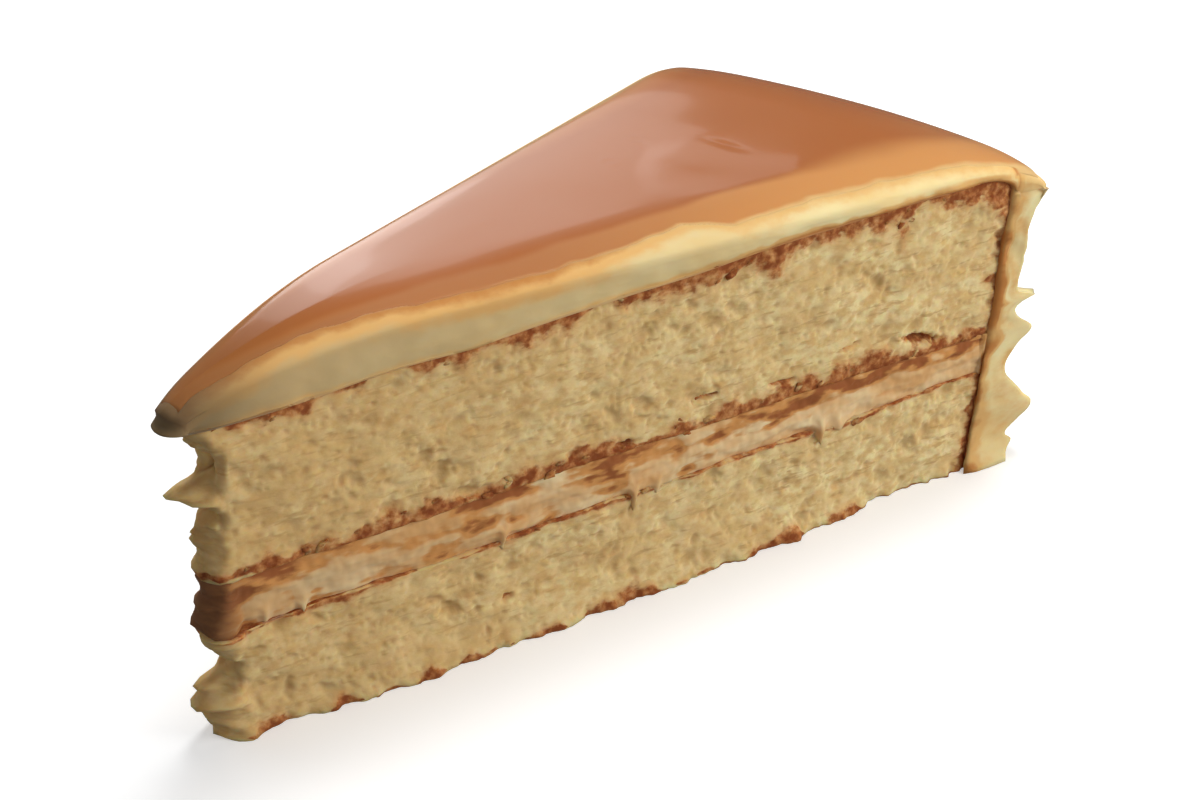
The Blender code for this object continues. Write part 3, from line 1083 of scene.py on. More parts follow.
@dataclass
class SpongeLayer(Layer):
    """A sponge layer: an open crumb on the cut sides, torn at the tip, and browned faces.

    Its relief is given by a bump size and a depth. The foot bows out between two places, each given
    with the length over which the bow grows or fades.
    """

    bottom: Callable[[np.ndarray, np.ndarray], np.ndarray] = None
    top: Callable[[np.ndarray, np.ndarray], np.ndarray] = None
    crusts: tuple[Crust, ...] = ()
    tears: tuple[Tear, ...] = ()
    seed: int = 1
    spacing: float = 0.265 * MM
    crag: Range = (8.0 * MM, 0.42 * MM)
    crag_tip: Range = (9.0 * MM, 0.7)
    lump: Range = (2.8 * MM, 0.17 * MM)
    fibre: Range = (0.9 * MM, 0.10 * MM)
    scab: Range = (1.3 * MM, 0.16 * MM)
    pores: tuple[Pores, ...] = (
        Pores(40, (0.30 * MM, 0.70 * MM), (0.10 * MM, 0.26 * MM), 2.2),
        Pores(5, (0.8 * MM, 1.5 * MM), (0.20 * MM, 0.50 * MM), 2.4),
        Pores(0.5, (1.4 * MM, 2.2 * MM), (0.4 * MM, 0.8 * MM), 2.4),
    )
    torn_depth: float = 0.9 * MM
    hollow_depth: float = 0.6 * MM
    rim_width: float = 2.4 * MM
    foot_height: float = 1.8 * MM
    foot_rags: float = 4.5 * MM
    foot_reach: Range = (-0.4, 1.5)
    bow: float = 1.8 * MM
    bow_height: float = 9.0 * MM
    bow_start: Range = (6.0 * MM, 16.0 * MM)
    bow_end: Range = (102.0 * MM, 22.0 * MM)
    cut: Cut = field(init=False, default=None)

    def build(self) -> bpy.types.Object:
        """Builds the layer.

        Returns:
            The finished mesh, with its hollow and crust painted.
        """
        piece = self.block()
        x, y = self.plan.place(self.rows, self.columns)
        bottom = self.bottom(x, y)
        thickness = self.top(x, y) - bottom
        points = np.column_stack([x, y, bottom + thickness * self.heights])
        set_points(piece, points)
        wall = self.walls()
        normals = level_normals(piece)[wall]
        upright = points[wall]
        crust = self.crust_at(upright, self.heights[wall] * thickness[wall], thickness[wall])
        relief, hollow, torn = self.relief(upright, normals, np.clip(crust * 2, 0, 1))
        crust = np.maximum(crust, 1.4 * torn - 0.7)
        points[wall] += normals * relief[:, None]
        points = CAKE.to_slice(*points.T)
        set_points(piece, points)
        self.cut = Cut(points[wall], normals, crust)
        # The crumb's finish turns hollow into painted shade.
        paint(piece, "hollow", self.spread(wall, hollow, 0.0))
        paint(piece, "crust", self.spread(wall, crust, 1.0))
        return piece

    @staticmethod
    def spread(wall: np.ndarray, values: np.ndarray, elsewhere: float) -> np.ndarray:
        """Puts values of the wall's points among those of all points.

        Args:
            wall: Which points lie on the wall.
            values: One value for each of those.
            elsewhere: The value of the others.

        Returns:
            One value for each point.
        """
        found = np.full(len(wall), elsewhere)
        found[wall] = values
        return found

    def crust_at(self, points: np.ndarray, above: np.ndarray, thickness: np.ndarray) -> np.ndarray:
        """How far inside a crust the wall's points lie.

        Args:
            points: The wall's points.
            above: Their heights above the layer's bottom face.
            thickness: The layer's thickness there.

        Returns:
            Over 0 inside a crust, under 0 in the crumb.
        """
        in_from_rim = self.plan.rim_radius - np.hypot(points[:, 0], points[:, 1])
        uneven = 1 + 0.7 * noise_at(points, 3.5 * MM, 3)
        found = 1 - in_from_rim / (self.rim_width * np.maximum(0.1, uneven))
        for crust in self.crusts:
            depth = above if crust.face is Face.BOTTOM else thickness - above
            found = np.maximum(found, crust.cover(points, depth))
        return np.clip(found, -1, 1)

    def relief(
        self, points: np.ndarray, normals: np.ndarray, crust: np.ndarray
    ) -> tuple[np.ndarray, np.ndarray, np.ndarray]:
        """Shapes the walls: crags, lumps, fibres, pores, tears, scabs of crust, the tip and the foot.

        Args:
            points: The wall's points.
            normals: Their level normals.
            crust: How far each is baked, from 0 to 1.

        Returns:
            How far each point moves outwards, how hollow its place is and how far it is torn.
        """
        size, depth = self.crag
        broad = depth * (noise_at(points, size) + 0.5 * noise_at(points, 0.4 * size))
        length, more = self.crag_tip
        broad *= 1 + more * np.clip(1 - (points[:, 0] - self.plan.tip) / length, 0, 1)
        lumps = noise_at(points * (0.7, 0.7, 1.0), self.lump[0], 3)
        fibres = noise_at(points * (0.45, 0.45, 1.0), self.fibre[0], 3)
        wall = Wall(points, normals, self.spacing)
        draw = np.random.RandomState(self.seed)
        for pores in self.pores:
            wall.open_pores(pores, draw)
        wall.depth *= 1 - 0.6 * crust
        before = wall.depth.copy()
        for tear in self.tears:
            wall.carve(wall.nearest(tear), tear.half_length, tear.half_height, tear.depth, tear.tilt)
        scabs = crust * (0.25 * self.scab[1] + self.scab[1] * noise_at(points, self.scab[0], 3))
        relief = broad + self.lump[1] * lumps + self.fibre[1] * fibres - wall.depth + scabs
        relief += tip_relief(points) + self.foot(points)
        torn = np.clip((wall.depth - before) / self.torn_depth, 0, 1)
        hollow = np.clip(wall.depth / self.hollow_depth + 0.5 * np.clip(-lumps - 0.1, 0, 1), 0, 1)
        return relief, hollow, torn

    def foot(self, points: np.ndarray) -> np.ndarray:
        """How far the wall's ragged foot reaches out, and bows outwards along the slice's middle.

        Args:
            points: The wall's points.

        Returns:
            One distance for each point, 0 further up.
        """
        low = np.clip(1 - points[:, 2] / self.foot_height, 0, 1)
        rags = 0.3 + 1.2 * noise_at(points * (1.0, 1.0, 0.0), self.foot_rags, 3)
        start, growing = self.bow_start
        end, fading = self.bow_end
        middle = smooth_step((points[:, 0] - start) / growing) * smooth_step((end - points[:, 0]) / fading)
        bow = self.bow * middle * np.clip(1 - points[:, 2] / self.bow_height, 0, 1) ** 1.5
        return low * np.clip(rags, *self.foot_reach) * MM + bow


@dataclass(frozen=True)
class Peak:
    """A peak of cream that the knife pulled out of the filling, and how far it hangs down."""

    distance: float
    side: Side
    reach: float
    width: float
    drop: float


@dataclass
class Filling(Layer):
    """The cream between the sponges, with bulges, pulled peaks and smears of honey under the sponge.

    Its relief is given by a bump size and a depth.
    """

    bulge: Range = (7.0 * MM, 0.35 * MM)
    streak: Range = (1.7 * MM, 0.50 * MM)
    grain: Range = (1.0 * MM, 0.12 * MM)
    rounding: float = 0.5 * MM
    sunk: float = 0.25 * MM
    overlap: float = 0.2 * MM
    patch: float = 2.6 * MM
    tip_length: float = 4.0 * MM
    paler: Range = (70.0 * MM, 40.0 * MM)
    peaks: tuple[Peak, ...] = (
        Peak(6.1 * MM, Side.NEAR, 0.4 * MM, 1.1 * MM, 0.9 * MM),
        Peak(10.8 * MM, Side.NEAR, 0.5 * MM, 1.2 * MM, 1.6 * MM),
        Peak(37.5 * MM, Side.NEAR, 0.5 * MM, 1.3 * MM, 1.6 * MM),
        Peak(57.0 * MM, Side.NEAR, 0.7 * MM, 1.3 * MM, 2.8 * MM),
        Peak(60.6 * MM, Side.NEAR, 0.4 * MM, 1.8 * MM, 0.8 * MM),
        Peak(87.8 * MM, Side.NEAR, 1.2 * MM, 1.8 * MM, 2.0 * MM),
        Peak(91.0 * MM, Side.NEAR, 0.9 * MM, 4.5 * MM, 0.6 * MM),
        Peak(45.0 * MM, Side.FAR, 0.7 * MM, 1.8 * MM, 1.6 * MM),
        Peak(83.0 * MM, Side.FAR, 1.0 * MM, 2.2 * MM, 2.0 * MM),
    )

    def build(self) -> bpy.types.Object:
        """Builds the filling.

        Returns:
            The finished mesh, with its honey smears painted.
        """
        piece = self.block()
        x, y = self.plan.place(self.rows, self.columns)
        bottom = CAKE.top_of_lower_sponge(x, y) - self.overlap
        top = CAKE.bottom_of_upper_sponge(x, y) + self.overlap
        points = np.column_stack([x, y, bottom + (top - bottom) * self.heights])
        set_points(piece, points)
        wall = self.walls() & (np.hypot(x, y) < CAKE.sponge_radius - MM)
        normals = level_normals(piece)
        upright = points[wall]
        heights = self.heights[wall]
        streaks = noise_at(upright * (0.3, 0.3, 1.0), self.streak[0], 3)
        relief = self.bulge[1] * noise_at(upright, self.bulge[0]) + self.streak[1] * streaks
        relief += self.grain[1] * noise_at(upright, self.grain[0], 2)
        relief -= self.rounding * np.abs(heights * 2 - 1) ** 3 + self.sunk
        relief += tip_relief(upright)
        drop, drawn = self.pull(upright, 1 - heights, relief)
        points[wall] += normals[wall] * relief[:, None]
        points[wall, 2] -= drop
        set_points(piece, CAKE.to_slice(*points.T))
        stain = np.full(len(points), 0.4)
        stain[wall] = self.stain(upright, heights, streaks) - 1.2 * drawn
        paint(piece, "honey", np.clip(stain, -0.5, 1.2))
        return piece

    def pull(self, points: np.ndarray, low: np.ndarray, relief: np.ndarray) -> tuple[np.ndarray, np.ndarray]:
        """Pulls the peaks out of the wall, and adds their reach to its relief.

        Args:
            points: The wall's points.
            low: How far down each lies, from 0 at the filling's top to 1.
            relief: How far each moves outwards, which grows where a peak is.

        Returns:
            How far each point drops, and how far it is part of a peak.
        """
        distance = np.hypot(points[:, 0], points[:, 1])
        drop = np.zeros(len(points))
        drawn = np.zeros(len(points))
        for peak in self.peaks:
            near = np.clip(1 - np.abs(distance - peak.distance) / peak.width, 0, 1)
            near *= points[:, 1] * peak.side.value > 0
            relief += peak.reach * near**2 * smooth_step(2.4 * low - 1.2)
            drop += peak.drop * near**3 * low**3
            drawn = np.maximum(drawn, near * smooth_step(2.4 * low - 0.9))
        return drop, drawn

    def stain(self, points: np.ndarray, heights: np.ndarray, streaks: np.ndarray) -> np.ndarray:
        """How far honey stains the wall: in patches and hollows, under the sponge and at the tip.

        Args:
            points: The wall's points.
            heights: How far up each lies, from 0 to 1.
            streaks: The streaks in the wall's relief.

        Returns:
            One value for each point, over 0 where it is stained.
        """
        start, length = self.paler
        at_rim = smooth_step((points[:, 0] - start) / length)
        near_tip = np.clip(1 - (points[:, 0] - self.plan.tip) / self.tip_length, 0, 1)
        patches = noise_at(points * (0.35, 0.35, 1.0) + 40 * MM, self.patch, 3)
        under_sponge = 0.35 * (heights > 0.92)
        rising = (0.9 + 0.9 * at_rim) * (heights - 0.5) + under_sponge
        return 0.25 - 0.3 * at_rim + rising - 0.7 * streaks + patches + 0.9 * near_tip


@dataclass(frozen=True)
class Pour:
    """How the honey lies on the top: its thickness, how it thins out, and where its edges are.

    The shore and the crease are tables of places along the slice and distances inside the near cut.
    """

    thickness: float = 1.4 * MM
    cut_taper: Range = (3.2 * MM, 8.0 * MM)
    far_edge: float = 0.5 * MM
    rim_edge: float = 121.6 * MM
    rim_taper: float = 4.5 * MM
    tip_taper: float = 6.0 * MM
    widening: Range = (45.0 * MM, 60.0 * MM)
    wave: Range = (6.0 * MM, 0.7 * MM)
    shore_wave: Range = (4.0 * MM, 0.45 * MM)
    crease_wave: Range = (9.0 * MM, 0.5 * MM)
    sunk: float = 0.06 * MM
    shore: tuple[Range, ...] = (
        (-0.6 * MM, 1.0 * MM),
        (8.0 * MM, 2.2 * MM),
        (17.6 * MM, 2.6 * MM),
        (26.0 * MM, 2.0 * MM),
        (35.4 * MM, 1.5 * MM),
        (45.6 * MM, 1.9 * MM),
        (57.0 * MM, 2.9 * MM),
        (63.5 * MM, 4.5 * MM),
        (69.0 * MM, 1.7 * MM),
        (82.5 * MM, 2.8 * MM),
        (97.0 * MM, 2.8 * MM),
        (111.0 * MM, 1.4 * MM),
    )
    crease: tuple[Range, ...] = (
        (8.0 * MM, 3.1 * MM),
        (27.0 * MM, 4.6 * MM),
        (40.0 * MM, 5.7 * MM),
        (51.0 * MM, 7.0 * MM),
        (64.0 * MM, 8.3 * MM),
        (70.0 * MM, 9.0 * MM),
        (88.0 * MM, 10.4 * MM),
        (104.0 * MM, 11.5 * MM),
    )

    @staticmethod
    def wavy(x: np.ndarray, y: np.ndarray, wave: Range) -> np.ndarray:
        """Waves over places in the cake's plan, by their size and height."""
        size, height = wave
        return height * noise_at(np.column_stack([x, y, np.zeros_like(x)]), size, 2)

    def cut_edge(self, x: np.ndarray, y: np.ndarray) -> np.ndarray:
        """How far inside the cuts the honey's wavy edge lies.

        Args:
            x: Places along the cake's plan, from its centre.
            y: Places across it.

        Returns:
            One distance for each place.
        """
        far, inside = zip(*self.shore)
        far_share = smooth_step(0.5 + (y - CAKE.tip_side) / (7 * MM))
        near = np.interp(x, far, inside) + self.wavy(x, y, self.shore_wave)
        return near + (self.far_edge - near) * far_share

    def over_shoulder(self, x: np.ndarray, y: np.ndarray) -> np.ndarray:
        """How far the honey lies beyond the crease along the near shoulder, or near the rim.

        Args:
            x: Places along the cake's plan, from its centre.
            y: Places across it.

        Returns:
            One value for each place, from 0 to 1.
        """
        far, inside = zip(*self.crease)
        line = np.interp(x, far, inside) + self.wavy(x, y, self.crease_wave)
        soft = 1.8 * MM + 6 * MM * smooth_step((x - 78 * MM) / (24 * MM))
        near = smooth_step(0.5 + (line - ICING.inside(x, y)) / soft) * (y < CAKE.tip_side)
        to_rim = smooth_step((np.hypot(x, y) - 106 * MM) / (15 * MM))
        to_corner = smooth_step((-y - 2 * MM) / (24 * MM))
        return np.maximum(near, 0.5 * to_rim * to_corner)

    def depth(self, x: np.ndarray, y: np.ndarray) -> np.ndarray:
        """Thickness of the honey.

        Args:
            x: Places along the cake's plan, from its centre.
            y: Places across it.

        Returns:
            One thickness for each place.
        """
        wavy = self.wavy(x, y, self.wave)
        spread = smooth_step((x - self.widening[0]) / self.widening[1])
        taper = self.cut_taper[0] + (self.cut_taper[1] - self.cut_taper[0]) * spread
        from_cut = np.clip((ICING.inside(x, y) - self.cut_edge(x, y)) / taper, 0, 1)
        from_rim = np.clip((self.rim_edge - np.hypot(x, y) + wavy) / self.rim_taper, 0, 1)
        from_tip = np.clip((x - ICING.tip - MM + wavy) / self.tip_taper, 0, 1)
        return self.thickness * np.sin(np.minimum(from_cut, np.minimum(from_rim, from_tip)) * math.pi / 2)


POUR = Pour()


@dataclass
class Icing(Layer):
    """The cream over the top and down the outer side, ridged by the palette knife.

    Its relief is given by a bump size and a depth.
    """

    thickness: float = 7.0 * MM
    rim_share: float = 212 / 224
    skirt: tuple[int, ...] = (11, 8)
    ridges: tuple[Ridge, ...] = (
        Ridge(44.4 * MM, 2.7 * MM, 2.8 * MM),
        Ridge(26.7 * MM, 4.9 * MM, 0.7 * MM, 0.8),
        Ridge(21.2 * MM, 4.4 * MM, 2.4 * MM),
        Ridge(12.4 * MM, 1.6 * MM, 2.0 * MM),
        Ridge(7.8 * MM, 7.4 * MM, 3.6 * MM),
        Ridge(2.2 * MM, 3.6 * MM, 1.4 * MM),
        Ridge(0.0 * MM, 3.0 * MM, 1.4 * MM),
    )
    side_hollow: float = 2.6 * MM
    wander: Range = (16.0 * MM, 1.6 * MM)
    side_streak: Range = (1.6 * MM, 0.32 * MM)
    side_lump: Range = (5.0 * MM, 0.35 * MM)
    cut_bulge: Range = (8.0 * MM, 0.45 * MM)
    cut_streak: Range = (1.7 * MM, 0.16 * MM)
    tucked: float = 0.35 * MM
    sunk: float = 0.05 * MM
    foot: Range = (3.5 * MM, 1.8 * MM)
    nose: Ridge = Ridge(0.0, 1.3 * MM, 0.35, 0.6)
    nose_length: float = 2.0 * MM
    overlap: float = 0.2 * MM
    seep: Range = (3.6 * MM, 2.2 * MM)
    seam: float = 1.5 * MM
    soaked: Range = (4.0 * MM, 2.8 * MM)

    def block(self) -> bpy.types.Object:
        """Adds the slab over the sponge, and draws its outer part down to the base as a skirt.

        Returns:
            The block. Heights below 0 lie on the skirt, and rows over 1 beyond the sponge.
        """
        low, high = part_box(self.node)
        slab_low = Vector((low.x, low.y, high.z - self.thickness))
        piece = self.slab(slab_low, high)
        outer = low.x + self.rim_share * (high.x - low.x)
        deselect_all()
        bpy.context.view_layer.objects.active = piece
        bpy.ops.object.mode_set(mode="EDIT")
        bpy.ops.mesh.select_mode(type="FACE")
        bpy.ops.mesh.select_all(action="DESELECT")
        mesh = bmesh.from_edit_mesh(piece.data)
        for face in mesh.faces:
            face.select = face.normal.z < -0.5 and face.calc_center_median().x > outer
        bmesh.update_edit_mesh(piece.data)
        bpy.ops.mesh.extrude_region_move(TRANSFORM_OT_translate={"value": (0, 0, -slab_low.z)})
        for part in self.skirt:
            self.split_edges(piece, Axis.UP, part, below=slab_low.z + 0.01 * MM)
        bpy.ops.object.mode_set(mode="OBJECT")
        self.measure(piece, slab_low, high)
        self.heights = np.where(self.heights < 0, self.heights * self.thickness / slab_low.z, self.heights)
        beyond = (self.rows - self.rim_share) / (1 - self.rim_share)
        self.rows = np.where(self.rows < self.rim_share, self.rows / self.rim_share, 1 + beyond)
        self.columns = gathered(self.columns)
        return piece

    def build(self) -> bpy.types.Object:
        """Builds the icing.

        Returns:
            The finished mesh, with the honey that stains its edges painted.
        """
        piece = self.block()
        x, y = self.plan.place(self.rows, self.columns)
        under = CAKE.under_icing(x, y) - self.overlap
        top = CAKE.crown(x, y) - POUR.depth(x, y)
        slab = under + (top - under) * np.clip(self.heights, 0, 1)
        z = np.where(self.heights < 0, under * (1 + self.heights), slab)
        points = np.column_stack([x, y, z])
        set_points(piece, points)
        normals = level_normals(piece)
        radius = np.hypot(x, y)
        beyond = np.clip(self.rows - 1, 0, 1)
        outer = beyond > 1 - END
        at_cut = (np.abs(self.columns) > 1 - SIDE) | (self.rows < END)
        face = at_cut & ~outer
        points[face] += normals[face] * self.cut_relief(points[face], self.heights[face])[:, None]
        away = np.column_stack([x, y]) / radius[:, None]
        skirt = at_cut & (self.heights < 0) & ~outer
        points[skirt, :2] += away[skirt] * ((1 - beyond[skirt]) * self.inner_edge(points[skirt]))[:, None]
        side = beyond > 0
        points[side, :2] += away[side] * (beyond[side] * self.side_relief(points[side]))[:, None]
        set_points(piece, CAKE.to_slice(*points.T))
        paint(piece, "honey", self.stain(x, y, points[:, 2], top, under))
        return piece

    def cut_relief(self, points: np.ndarray, heights: np.ndarray) -> np.ndarray:
        """Shapes the cut faces: soft bulges, the lower edge, the foot and the nose at the tip.

        Args:
            points: The faces' points.
            heights: How far up the slab each lies, below 0 on the skirt.

        Returns:
            How far each point moves outwards.
        """
        bulge = self.cut_bulge[1] * noise_at(points, self.cut_bulge[0], 2)
        bulge += self.cut_streak[1] * noise_at(points * (0.5, 0.5, 1.0), self.cut_streak[0], 3)
        in_slab = np.clip(heights, 0, 1)
        in_skirt = heights < 0
        near_tip = np.clip(1 - (points[:, 0] - self.plan.tip) / self.nose_length, 0, 1)
        radius = np.hypot(points[:, 0], points[:, 1])
        towards_rim = np.clip((radius - self.plan.rim_radius) / (1.5 * MM), 0, 1)
        tucked = self.tucked * (1 - in_slab) ** 4 * ~in_skirt
        sunk = self.sunk * (1 - towards_rim) * in_skirt
        foot = self.foot[1] * np.clip(1 - points[:, 2] / self.foot[0], 0, 1) ** 2 * in_skirt
        return bulge * (1 - in_slab**6) - tucked - sunk + foot + near_tip * self.nose.at(in_slab)

    def inner_edge(self, points: np.ndarray) -> np.ndarray:
        """How far out the side's cream ends against the baked rim, which reaches further up high."""
        up_high = smooth_step((points[:, 2] - 18 * MM) / (3 * MM))
        return 1.1 * MM * up_high - 0.35 * MM + 0.5 * MM * noise_at(points * (0.2, 0.2, 1.0), 3.2 * MM, 3)

    def side_relief(self, points: np.ndarray) -> np.ndarray:
        """The palette knife's ridges and hollows along the iced side.

        Args:
            points: The side's points.

        Returns:
            How far each moves outwards.
        """
        outer = self.plan.outer_radius
        corner = outer * math.sin(CAKE.half_angle + self.plan.outset / outer)
        along = (points[:, 1:2] + corner) * (1.0, 0.0, 0.0)
        height = points[:, 2] + self.wander[1] * noise_at(along, self.wander[0])
        reach = np.full(len(points), -self.side_hollow)
        for index, ridge in enumerate(self.ridges):
            shifted = along + np.array((0, 3 * index, 1)) * self.wander[0]
            reach += ridge.at(height) * (1 + 0.4 * noise_at(shifted, self.wander[0]))
        reach += self.side_streak[1] * noise_at(points * (0.0, 0.12, 1.0), self.side_streak[0], 3)
        return reach + self.side_lump[1] * noise_at(points, self.side_lump[0], 3)

    def stain(
        self, x: np.ndarray, y: np.ndarray, z: np.ndarray, top: np.ndarray, under: np.ndarray
    ) -> np.ndarray:
        """How far honey and crust stain the cream: past the honey's edge, over the sponge and at its rim.

        Args:
            x: The points' x in the cake's plan.
            y: Their y there.
            z: Their heights.
            top: The cream's top over each.
            under: The cream's underside on the sponge at each.

        Returns:
            One value for each point, from 0 to about 1.
        """
        points = np.column_stack([x, y, z])
        bare = np.maximum(0.0, POUR.cut_edge(x, y) - ICING.inside(x, y))
        # The seeped honey is its own colour; its growth towards the tip is painted shade.
        strong = 0.85 - 0.4 * smooth_step((x - 40 * MM) / (30 * MM))
        seeped = strong * smooth_step(1 - bare / self.seep[0]) * smooth_step(1 - (top - z) / self.seep[1])
        beyond = np.hypot(x, y) - self.plan.rim_radius
        uneven = 1 + 0.6 * noise_at(points, 3 * MM, 2)
        browned = 0.40 + 0.5 * smooth_step((x - 45 * MM) / (35 * MM))
        seam = browned * smooth_step(1 - np.abs(z - under) / (self.seam * uneven)) * (beyond < 0)
        soaked = 0.26 + 0.25 * noise_at(points + 9 * MM, 4 * MM, 2)
        broken = np.clip(0.6 + 1.3 * noise_at(points + 23 * MM, 5 * MM, 2), 0.1, 1)
        inner = 0.5 * smooth_step(1 - beyond / (self.soaked[0] * uneven))
        inner += 0.5 * broken * smooth_step(1 - beyond / (self.soaked[1] * uneven))
        golden = np.where(beyond > 0, np.maximum(inner, soaked), 0.0)
        return np.maximum(seeped, np.maximum(seam, golden))


@dataclass(frozen=True)
class Mark:
    """A mark in the honey's skin: its place in the cake's plan, its half sizes and its depth.

    A ring is a burst bubble, with a raised edge.
    """

    x: float
    y: float
    half_length: float
    half_width: float
    depth: float
    ring: bool = False

    def sink(self, x: np.ndarray, y: np.ndarray) -> np.ndarray:
        """How far the skin sinks.

        Args:
            x: Places along the cake's plan, from its centre.
            y: Places across it.

        Returns:
            One depth for each place, below 0 where the skin rises.
        """
        away = np.hypot((x - self.x) / self.half_length, (y - self.y) / self.half_width)
        if self.ring:
            hollow = np.exp(-(((away - 0.6) / 0.25) ** 2))
            edge = 1.4 * np.exp(-(((away - 1) / 0.2) ** 2))
            return self.depth * (hollow - edge)
        return self.depth * np.exp(-(away**2))


@dataclass
class Glaze(Layer):
    """The honey glaze: a glossy skin that thins out to nothing over the rounded edges."""

    marks: tuple[Mark, ...] = (
        Mark(88.2 * MM, -0.3 * MM, 0.8 * MM, 2.6 * MM, 0.05 * MM),
        Mark(81.3 * MM, 9.8 * MM, 1.1 * MM, 1.3 * MM, 0.025 * MM, True),
        Mark(47.2 * MM, 3.6 * MM, 0.6 * MM, 0.7 * MM, 0.02 * MM, True),
        Mark(72.8 * MM, 6.8 * MM, 1.0 * MM, 1.1 * MM, 0.025 * MM, True),
    )
    swell: Range = (26.0 * MM, 0.10 * MM)
    first_row: float = 0.008
    past_edge: float = 0.2 * MM
    side_gap: float = 0.45 * MM
    sink_over: float = 0.3 * MM
    into_cream: float = 0.16 * MM

    def build(self) -> bpy.types.Object:
        """Builds the glaze.

        Returns:
            The finished mesh, with its depth and its near shoulder painted.
        """
        piece = self.block()
        side_width = self.plan.outer_radius - self.plan.rim_radius
        last_row = 1 + (POUR.rim_edge + self.past_edge - self.plan.rim_radius) / side_width
        rows = self.first_row + self.rows * (last_row - self.first_row)
        columns = gathered(self.columns)
        ends = [self.plan.place(rows, np.full_like(rows, side))[1] for side in (-1.0, 1.0)]
        half = (ends[1] - ends[0]) / 2
        x, y = self.plan.place(rows, columns * (1 - self.side_gap / half))
        depth = POUR.depth(x, y)
        crown = CAKE.crown(x, y)
        top = crown - POUR.sunk * (1 - smooth_step(depth / self.sink_over))
        waves = self.swell[1] * noise_at(np.column_stack([x, y, np.zeros_like(x)]), self.swell[0], 2)
        top += smooth_step(depth / POUR.thickness) * (waves - sum(mark.sink(x, y) for mark in self.marks))
        under = crown - depth - self.into_cream
        points = np.column_stack([x, y, under + (top - under) * self.heights])
        set_points(piece, CAKE.to_slice(*points.T))
        paint(piece, "depth", depth / POUR.thickness)
        paint(piece, "shoulder", POUR.over_shoulder(x, y))
        return piece


@dataclass(frozen=True)
class Chips:
    """Small chips of crust that cling to the cut sides."""

    name: str = "crust_chips"
    count: int = 90
    size: Range = (0.3 * MM, 0.9 * MM)
    proportions: Triple = (1.3, 0.25, 0.6)
    on_crust: Range = (0.1, 1.1)
    above: float = 0.8 * MM
    up_to: float = 0.045
    crust: float = 0.5
    most_turn: float = 0.7
    lumpy: float = 0.7
    seed: int = 9

    def build(self, cuts: tuple[Cut, ...]) -> bpy.types.Object:
        """Models one chip, copies it to places on the cut sides and joins the copies.

        Args:
            cuts: The finished walls of the sponge layers.

        Returns:
            The chips as one mesh, with hollow and crust painted.
        """
        deselect_all()
        bpy.ops.mesh.primitive_uv_sphere_add(segments=8, ring_count=6, radius=1, enter_editmode=True)
        piece = bpy.context.active_object
        piece.name = self.name
        bpy.ops.mesh.select_all(action="SELECT")
        bpy.ops.transform.resize(value=self.proportions, center_override=(0, 0, 0))
        bpy.ops.mesh.quads_convert_to_tris()
        bpy.ops.object.mode_set(mode="OBJECT")
        shape = points_of(piece)
        draw = np.random.RandomState(self.seed)
        copies = [self.copy(shape, perch, normal, draw) for perch, normal in self.perches(cuts, draw)]
        faces = np.array([list(polygon.vertices) for polygon in piece.data.polygons])
        offsets = np.arange(len(copies))[:, None, None] * len(shape)
        mesh = bpy.data.meshes.new(self.name)
        mesh.from_pydata(np.concatenate(copies), [], (faces[None] + offsets).reshape(-1, 3))
        piece.data = mesh
        paint(piece, "hollow", np.zeros(len(mesh.vertices)))
        paint(piece, "crust", np.full(len(mesh.vertices), self.crust))
        return piece

    def perches(
        self, cuts: tuple[Cut, ...], draw: np.random.RandomState
    ) -> list[tuple[np.ndarray, np.ndarray]]:
        """Places on the cut sides where chips cling.

        Args:
            cuts: The finished walls of the sponge layers.
            draw: Where the choice is drawn from.

        Returns:
            A point and the wall's normal there, for each chip.
        """
        points = np.concatenate([cut.points for cut in cuts])
        normals = np.concatenate([cut.normals for cut in cuts])
        crust = np.concatenate([cut.crust for cut in cuts])
        baked = (crust > self.on_crust[0]) & (crust < self.on_crust[1])
        allowed = baked & (points[:, 0] < self.up_to) & (points[:, 2] > self.above)
        chosen = draw.choice(np.flatnonzero(allowed), self.count, replace=False)
        return [(points[at], normals[at]) for at in chosen]

    def copy(
        self, shape: np.ndarray, perch: np.ndarray, normal: np.ndarray, draw: np.random.RandomState
    ) -> np.ndarray:
        """One chip on its perch, lumpy and turned in the wall's plane.

        Args:
            shape: The points of the chip that is copied.
            perch: The point where it clings.
            normal: The wall's normal there.
            draw: Where its size, lumps and turn are drawn from.

        Returns:
            The copy's points.
        """
        size = self.size[0] + (self.size[1] - self.size[0]) * draw.rand() ** 2
        lumpy = shape * (1 + self.lumpy * noise_at(shape + draw.rand() * 50, 0.8, 2))[:, None]
        turn = draw.uniform(-self.most_turn, self.most_turn)
        level = lumpy[:, 0] * math.cos(turn) - lumpy[:, 2] * math.sin(turn)
        up = lumpy[:, 0] * math.sin(turn) + lumpy[:, 2] * math.cos(turn)
        tangent = np.array([-normal[1], normal[0], 0.0])
        local = level[:, None] * tangent + up[:, None] * (0.0, 0.0, 1.0) + lumpy[:, 1:2] * normal
        return perch + local * size


@dataclass(frozen=True)
class Lamp:
    """A rectangular soft light that faces the slice.

    It has a place, a width, a height, a radiance, and a roll in its own plane in degrees. The honey
    mirrors only the mirrored ones.
    """

    name: str
    place: Triple
    width: float
    height: float
    radiance: float
    roll: float = 0.0
    mirrored: bool = False


